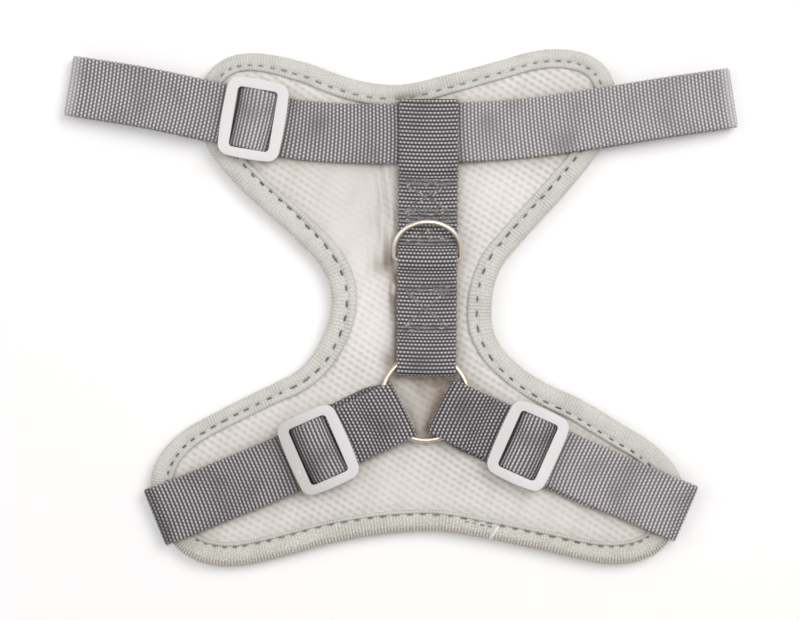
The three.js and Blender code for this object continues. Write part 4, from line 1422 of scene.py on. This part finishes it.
def dimples(points):
    """The lining's shallow dimples, 0 between them and 1 at their middles."""
    waves = zip(lattice_waves(), DIMPLE_WEIGHTS)
    total = sum(weight * np.cos(TURN * (points @ wave)) for wave, weight in waves)
    return smoothstep(-1.4, 2.6, total)


def spot(points, at_x, at_y, wide, tall):
    """A soft round patch on the panel, 1 at its middle."""
    x, y = (points - PLAN_ORIGIN).T
    return np.exp(-(((x - at_x) / wide) ** 2 + ((y - at_y) / tall) ** 2))


def line_between(x, y, at_x, wide, low, high):
    """A soft upright line on the panel, fading in and out over each pair of y values."""
    return np.exp(-((x - at_x) / wide) ** 2) * smoothstep(*low, y) * smoothstep(*high, y)


def wrinkles(points):
    """Upright creases beside the back strap's left edge, and soft ones inside the ring."""
    x, y = (points - PLAN_ORIGIN).T
    folds = np.sin(TURN * (x + 0.05 * y + 0.8 * np.sin(y / 7)) / 3.1)
    beside_back = line_between(x, y, -5.5, 4.5, (6, 18), (56, 40)) * folds
    ridge = line_between(x, y, -4.2, 1.6, (-8, -2), (12, 6))
    in_ring = spot(points, 8, -28, 9, 9) * np.sin(0.9 * x + 0.5 * y)
    crumple = spot(points, 13.5, -23.5, 3.5, 1.6) * np.sin(2.1 * x + 0.8 * y)
    streaks = np.sin(TURN * (x + 0.12 * y) / 2.2 + 1.5 * np.sin(y / 5))
    streaks = streaks * smoothstep(-16, -6, x) * (x < 0) * smoothstep(4, 14, y) * smoothstep(54, 44, y)
    ripple = np.sin(0.55 * x - 0.25 * y + 1) * np.sin(0.16 * y + 0.07 * x)
    return (0.55 * beside_back + 0.6 * ridge + 0.25 * in_ring + 0.5 * crumple
            + 0.16 * streaks + 0.15 * ripple)


def dimple_depth(points):
    """How plainly the dimples show: the knit is drawn smooth to the left of the back strap."""
    x, y = (points - PLAN_ORIGIN).T
    smooth = spot(points, -16, 28, 20, 28)
    ripple = 0.5 + 0.5 * np.sin(0.09 * x + 0.13 * y) * np.sin(0.05 * x - 0.11 * y + 1)
    return np.clip(0.45 + 0.5 * ripple - 0.6 * smooth, 0.1, 1)


def strap_shade(points):
    """How deep in the straps' shade each point of the lining lies, darkest on their lower left
    and fainter under their middles, which show only when the back piece lifts."""
    shade = np.zeros(len(points))
    towards = np.array([-0.55, -0.83])
    half = WEB_WIDTH / 2
    for route, start in ((NECK, 0), (BACK, 0), *((GIRTH[side], RING_FOLD[side]) for side in SIDES)):
        line, tangent, across = route.at(np.arange(start, route.length, 0.7))
        near = nearest_of(line, points)[0]
        offset = points - line[near]
        beyond = np.maximum(np.abs(np.sum(offset * tangent[near], axis=1)) - 0.5, 0)
        beside = np.abs(np.sum(offset * across[near], axis=1))
        side = 0.5 + 0.5 * (offset @ towards) / np.maximum(np.linalg.norm(offset, axis=1), 0.1)
        outside = np.hypot(np.maximum(beside - half, 0), beyond)
        under = smoothstep(half - 1.0, half - 4.5, beside) * (beyond == 0)
        shade = np.maximum(shade, np.exp(-outside / 1.7) * (0.22 + 0.50 * side) * (1 - 0.7 * under))
    return shade


# Soft patches of painted shade on the lining: how strong, at x and y, and half as wide and as tall.
SHADED_SPOTS = (
    # inside the joining ring
    (0.38, 13.2, -30, 2.8, 7), (0.38, 8.5, -28, 9, 10), (0.2, 9, -38, 4, 5),
    (0.05, 8.5, -25, 10, 11), (0.5, 16, -24.5, 2.2, 1.2), (0.2, 11, -25.5, 4, 1),
    # in the folds beside the back strap
    (0.5, -4.2, 16.5, 1.6, 5), (0.4, -6.5, 14, 3, 3), (0.6, -3.4, 3.5, 0.8, 7),
    # the last, of negative strength, is a painted highlight on a ridge
    (0.45, -4.5, -17.5, 2.2, 3), (0.14, -9, 24, 9, 26), (-0.8, -2.4, 6.5, 0.7, 2.0),
)
# pools of painted light, in the same columns
PAINTED_LIGHT_SPOTS = ((0.75, -12, 3, 11, 22), (0.4, 36, 38, 16, 20))     # the waist and the right shoulder


def spots(points, rows):
    return sum(strength * spot(points, *row) for strength, *row in rows)


def creases(points, folds):
    """Brown shade in the lining's creases, under the straps' edges and inside the ring."""
    x, y = (points - PLAN_ORIGIN).T
    blotches = 0.5 + 0.5 * np.sin(y / 2.3 + 1) * np.sin(y / 5.9 + 2)
    beside_back = line_between(x, y, -1.6, 1.0, (-20, -14), (58, 46)) * (0.25 + 0.5 * blotches)
    taut = smoothstep(9, 15, y) * smoothstep(0, -1, x) * smoothstep(-8, -4, x)
    shade = strap_shade(points) * (1 - 0.6 * taut) + beside_back * (1 - 0.75 * taut)
    shade = shade + 0.35 * np.clip(-folds, 0, 0.6)
    return np.clip(shade + spots(points, SHADED_SPOTS), 0, 0.9)


def make_panel():
    sheet = Sheet(3.6, 0.56)
    points = sheet.points
    gap, along = edge_distance(points)
    from_edge = gap + TAPE_INNER - tape_reach(along)
    pressed = covered(points)
    rise = 0.75 * smoothstep(8.3, 11.5, from_edge) + 0.2 * smoothstep(10, 18, from_edge) - 0.75
    coarse, field = inflated_heights()
    rise = rise + coarse.sample(field, points) * (1 - 0.75 * pressed)
    rise = np.minimum(rise, 0.45 + 0.9 * (1 - pressed))
    clear_of_tape = smoothstep(7.4, 8.6, from_edge)
    folds = wrinkles(points) * clear_of_tape
    depth = dimple_depth(points) * clear_of_tape
    rise = rise + folds * (1 - 0.5 * pressed) - 0.3 * depth * dimples(points)
    tucked = -0.9 * (1 - smoothstep(5.5, 8.4, from_edge))
    top = PANEL_TOP + rise + tucked
    bottom = np.full(len(points), PANEL_BOTTOM + 0.95)
    mesh_points, quads = sheet.closed(top, bottom)
    knit = np.zeros((len(mesh_points), 3))
    knit[:len(points), 0] = creases(points, folds)
    knit[:len(points), 1] = depth
    knit[:len(points), 2] = spots(points, PAINTED_LIGHT_SPOTS)
    pad = build_mesh("lining_pad", mesh_points, quads, LINING, {"knit": knit})
    place(pad, "chest_panel", "lining_mesh", "inner_mesh_face", "foam_core")

    sheet = Sheet(3.6, 1.2)
    from_edge = edge_distance(sheet.points)[0]
    tucked = 0.35 * (1 - smoothstep(6.5, 9, from_edge))
    base = PANEL_BOTTOM + tucked
    mesh_points, quads = sheet.closed(base + 0.5, base)
    face = build_mesh("outer_face_mesh", mesh_points, quads, OUTER_FACE)
    place(face, "chest_panel", "outer_mesh", "outer_mesh_face")


def edge_distance(points):
    """How far each point lies from the panel's edge, and how far along the edge."""
    outline = outline_at(0, 0.5)
    near, gap = nearest_of(outline, points)
    return gap, near * EDGE.length / len(outline)


# ---- Stage ----

def make_camera():
    """Straight down over the harness, as the picture was taken."""
    camera = bpy.data.cameras.new("camera")
    camera.lens = 100
    camera.sensor_width = 36
    view_width = 266.7
    distance = view_width * camera.lens / camera.sensor_width
    place_in_scene = bpy.data.objects.new("camera", camera)
    place_in_scene.location = (-0.27 * MM, -0.74 * MM, (distance + 6) * MM)
    bpy.context.scene.collection.objects.link(place_in_scene)
    bpy.context.scene.camera = place_in_scene


def make_floor():
    size = 3.0
    mesh = bpy.data.meshes.new("floor")
    corners = [(-size, -size, 0), (size, -size, 0), (size, size, 0), (-size, size, 0)]
    mesh.from_pydata(corners, [], [(0, 1, 2, 3)])
    shade = Shade("floor_pale", 0.9)
    shade.shader.inputs["Base Color"].default_value = (0.97, 0.97, 0.975, 1)
    shade.shader.inputs["Specular IOR Level"].default_value = 0.1
    mesh.materials.append(shade.material)
    floor = bpy.data.objects.new("floor", mesh)
    floor.location.z = -0.0004
    bpy.context.scene.collection.objects.link(floor)


def area_light(name, location, size, power, colour=(1, 1, 1)):
    light = bpy.data.lights.new(name, "AREA")
    light.shape = "DISK"
    light.size = size
    light.energy = power
    light.color = colour
    lamp = bpy.data.objects.new(name, light)
    lamp.location = location
    lamp.rotation_mode = "QUATERNION"
    lamp.rotation_quaternion = (-Vector(location)).to_track_quat("-Z", "Y")
    bpy.context.scene.collection.objects.link(lamp)


def make_lights():
    """A studio dome, brighter overhead, with a large soft key from the upper right."""
    world = bpy.data.worlds.new("studio")
    world.use_nodes = True
    nodes, links = world.node_tree.nodes, world.node_tree.links
    direction = nodes.new("ShaderNodeTexCoord")
    split = nodes.new("ShaderNodeSeparateXYZ")
    height, low_colour, high_colour, result = colour_mix(nodes)
    low_colour.default_value = (0.27, 0.235, 0.205, 1)
    high_colour.default_value = (0.53, 0.53, 0.535, 1)
    links.new(direction.outputs["Generated"], split.inputs[0])
    links.new(split.outputs["Z"], height)
    links.new(result, nodes["Background"].inputs["Color"])
    bpy.context.scene.world = world
    area_light("key", (0.60, 0.50, 1.1), 0.8, 7.7, (1.0, 0.985, 0.965))
    area_light("fill", (-0.9, 0.2, 1.0), 0.9, 3.5)
    area_light("overhead", (0.0, 0.1, 1.5), 0.6, 4.1)
    bpy.context.scene.view_settings.view_transform = "Standard"


# ---- Assembly ----

make_camera()
make_floor()
make_lights()

make_panel()
make_binding()
make_binding_stitches()

make_neck()
make_back_strap()
for side_name in SIDES:
    make_girth(side_name)
make_rings()

for slide_name, slide_body, slide_route in (
        ("neck", "neck_adjuster", NECK),
        ("left_girth", "left_girth_adjuster", GIRTH["left"]),
        ("right_girth", "right_girth_adjuster", GIRTH["right"])):
    make_slide(slide_name, slide_body, slide_route, gate_mark=slide_name == "left_girth")
    make_web_over_bar(slide_name, slide_body, slide_route)

sewn_box("box_stitches_upper", 3, SEWN_BOXES[0], "back_stitch_upper", cross_rows=2)
sewn_box("box_stitches_beside_ring", 5, SEWN_BOXES[1], None)
sewn_box("box_stitches_lower", 8, SEWN_BOXES[2], "back_stitch_lower", cross_rows=2)
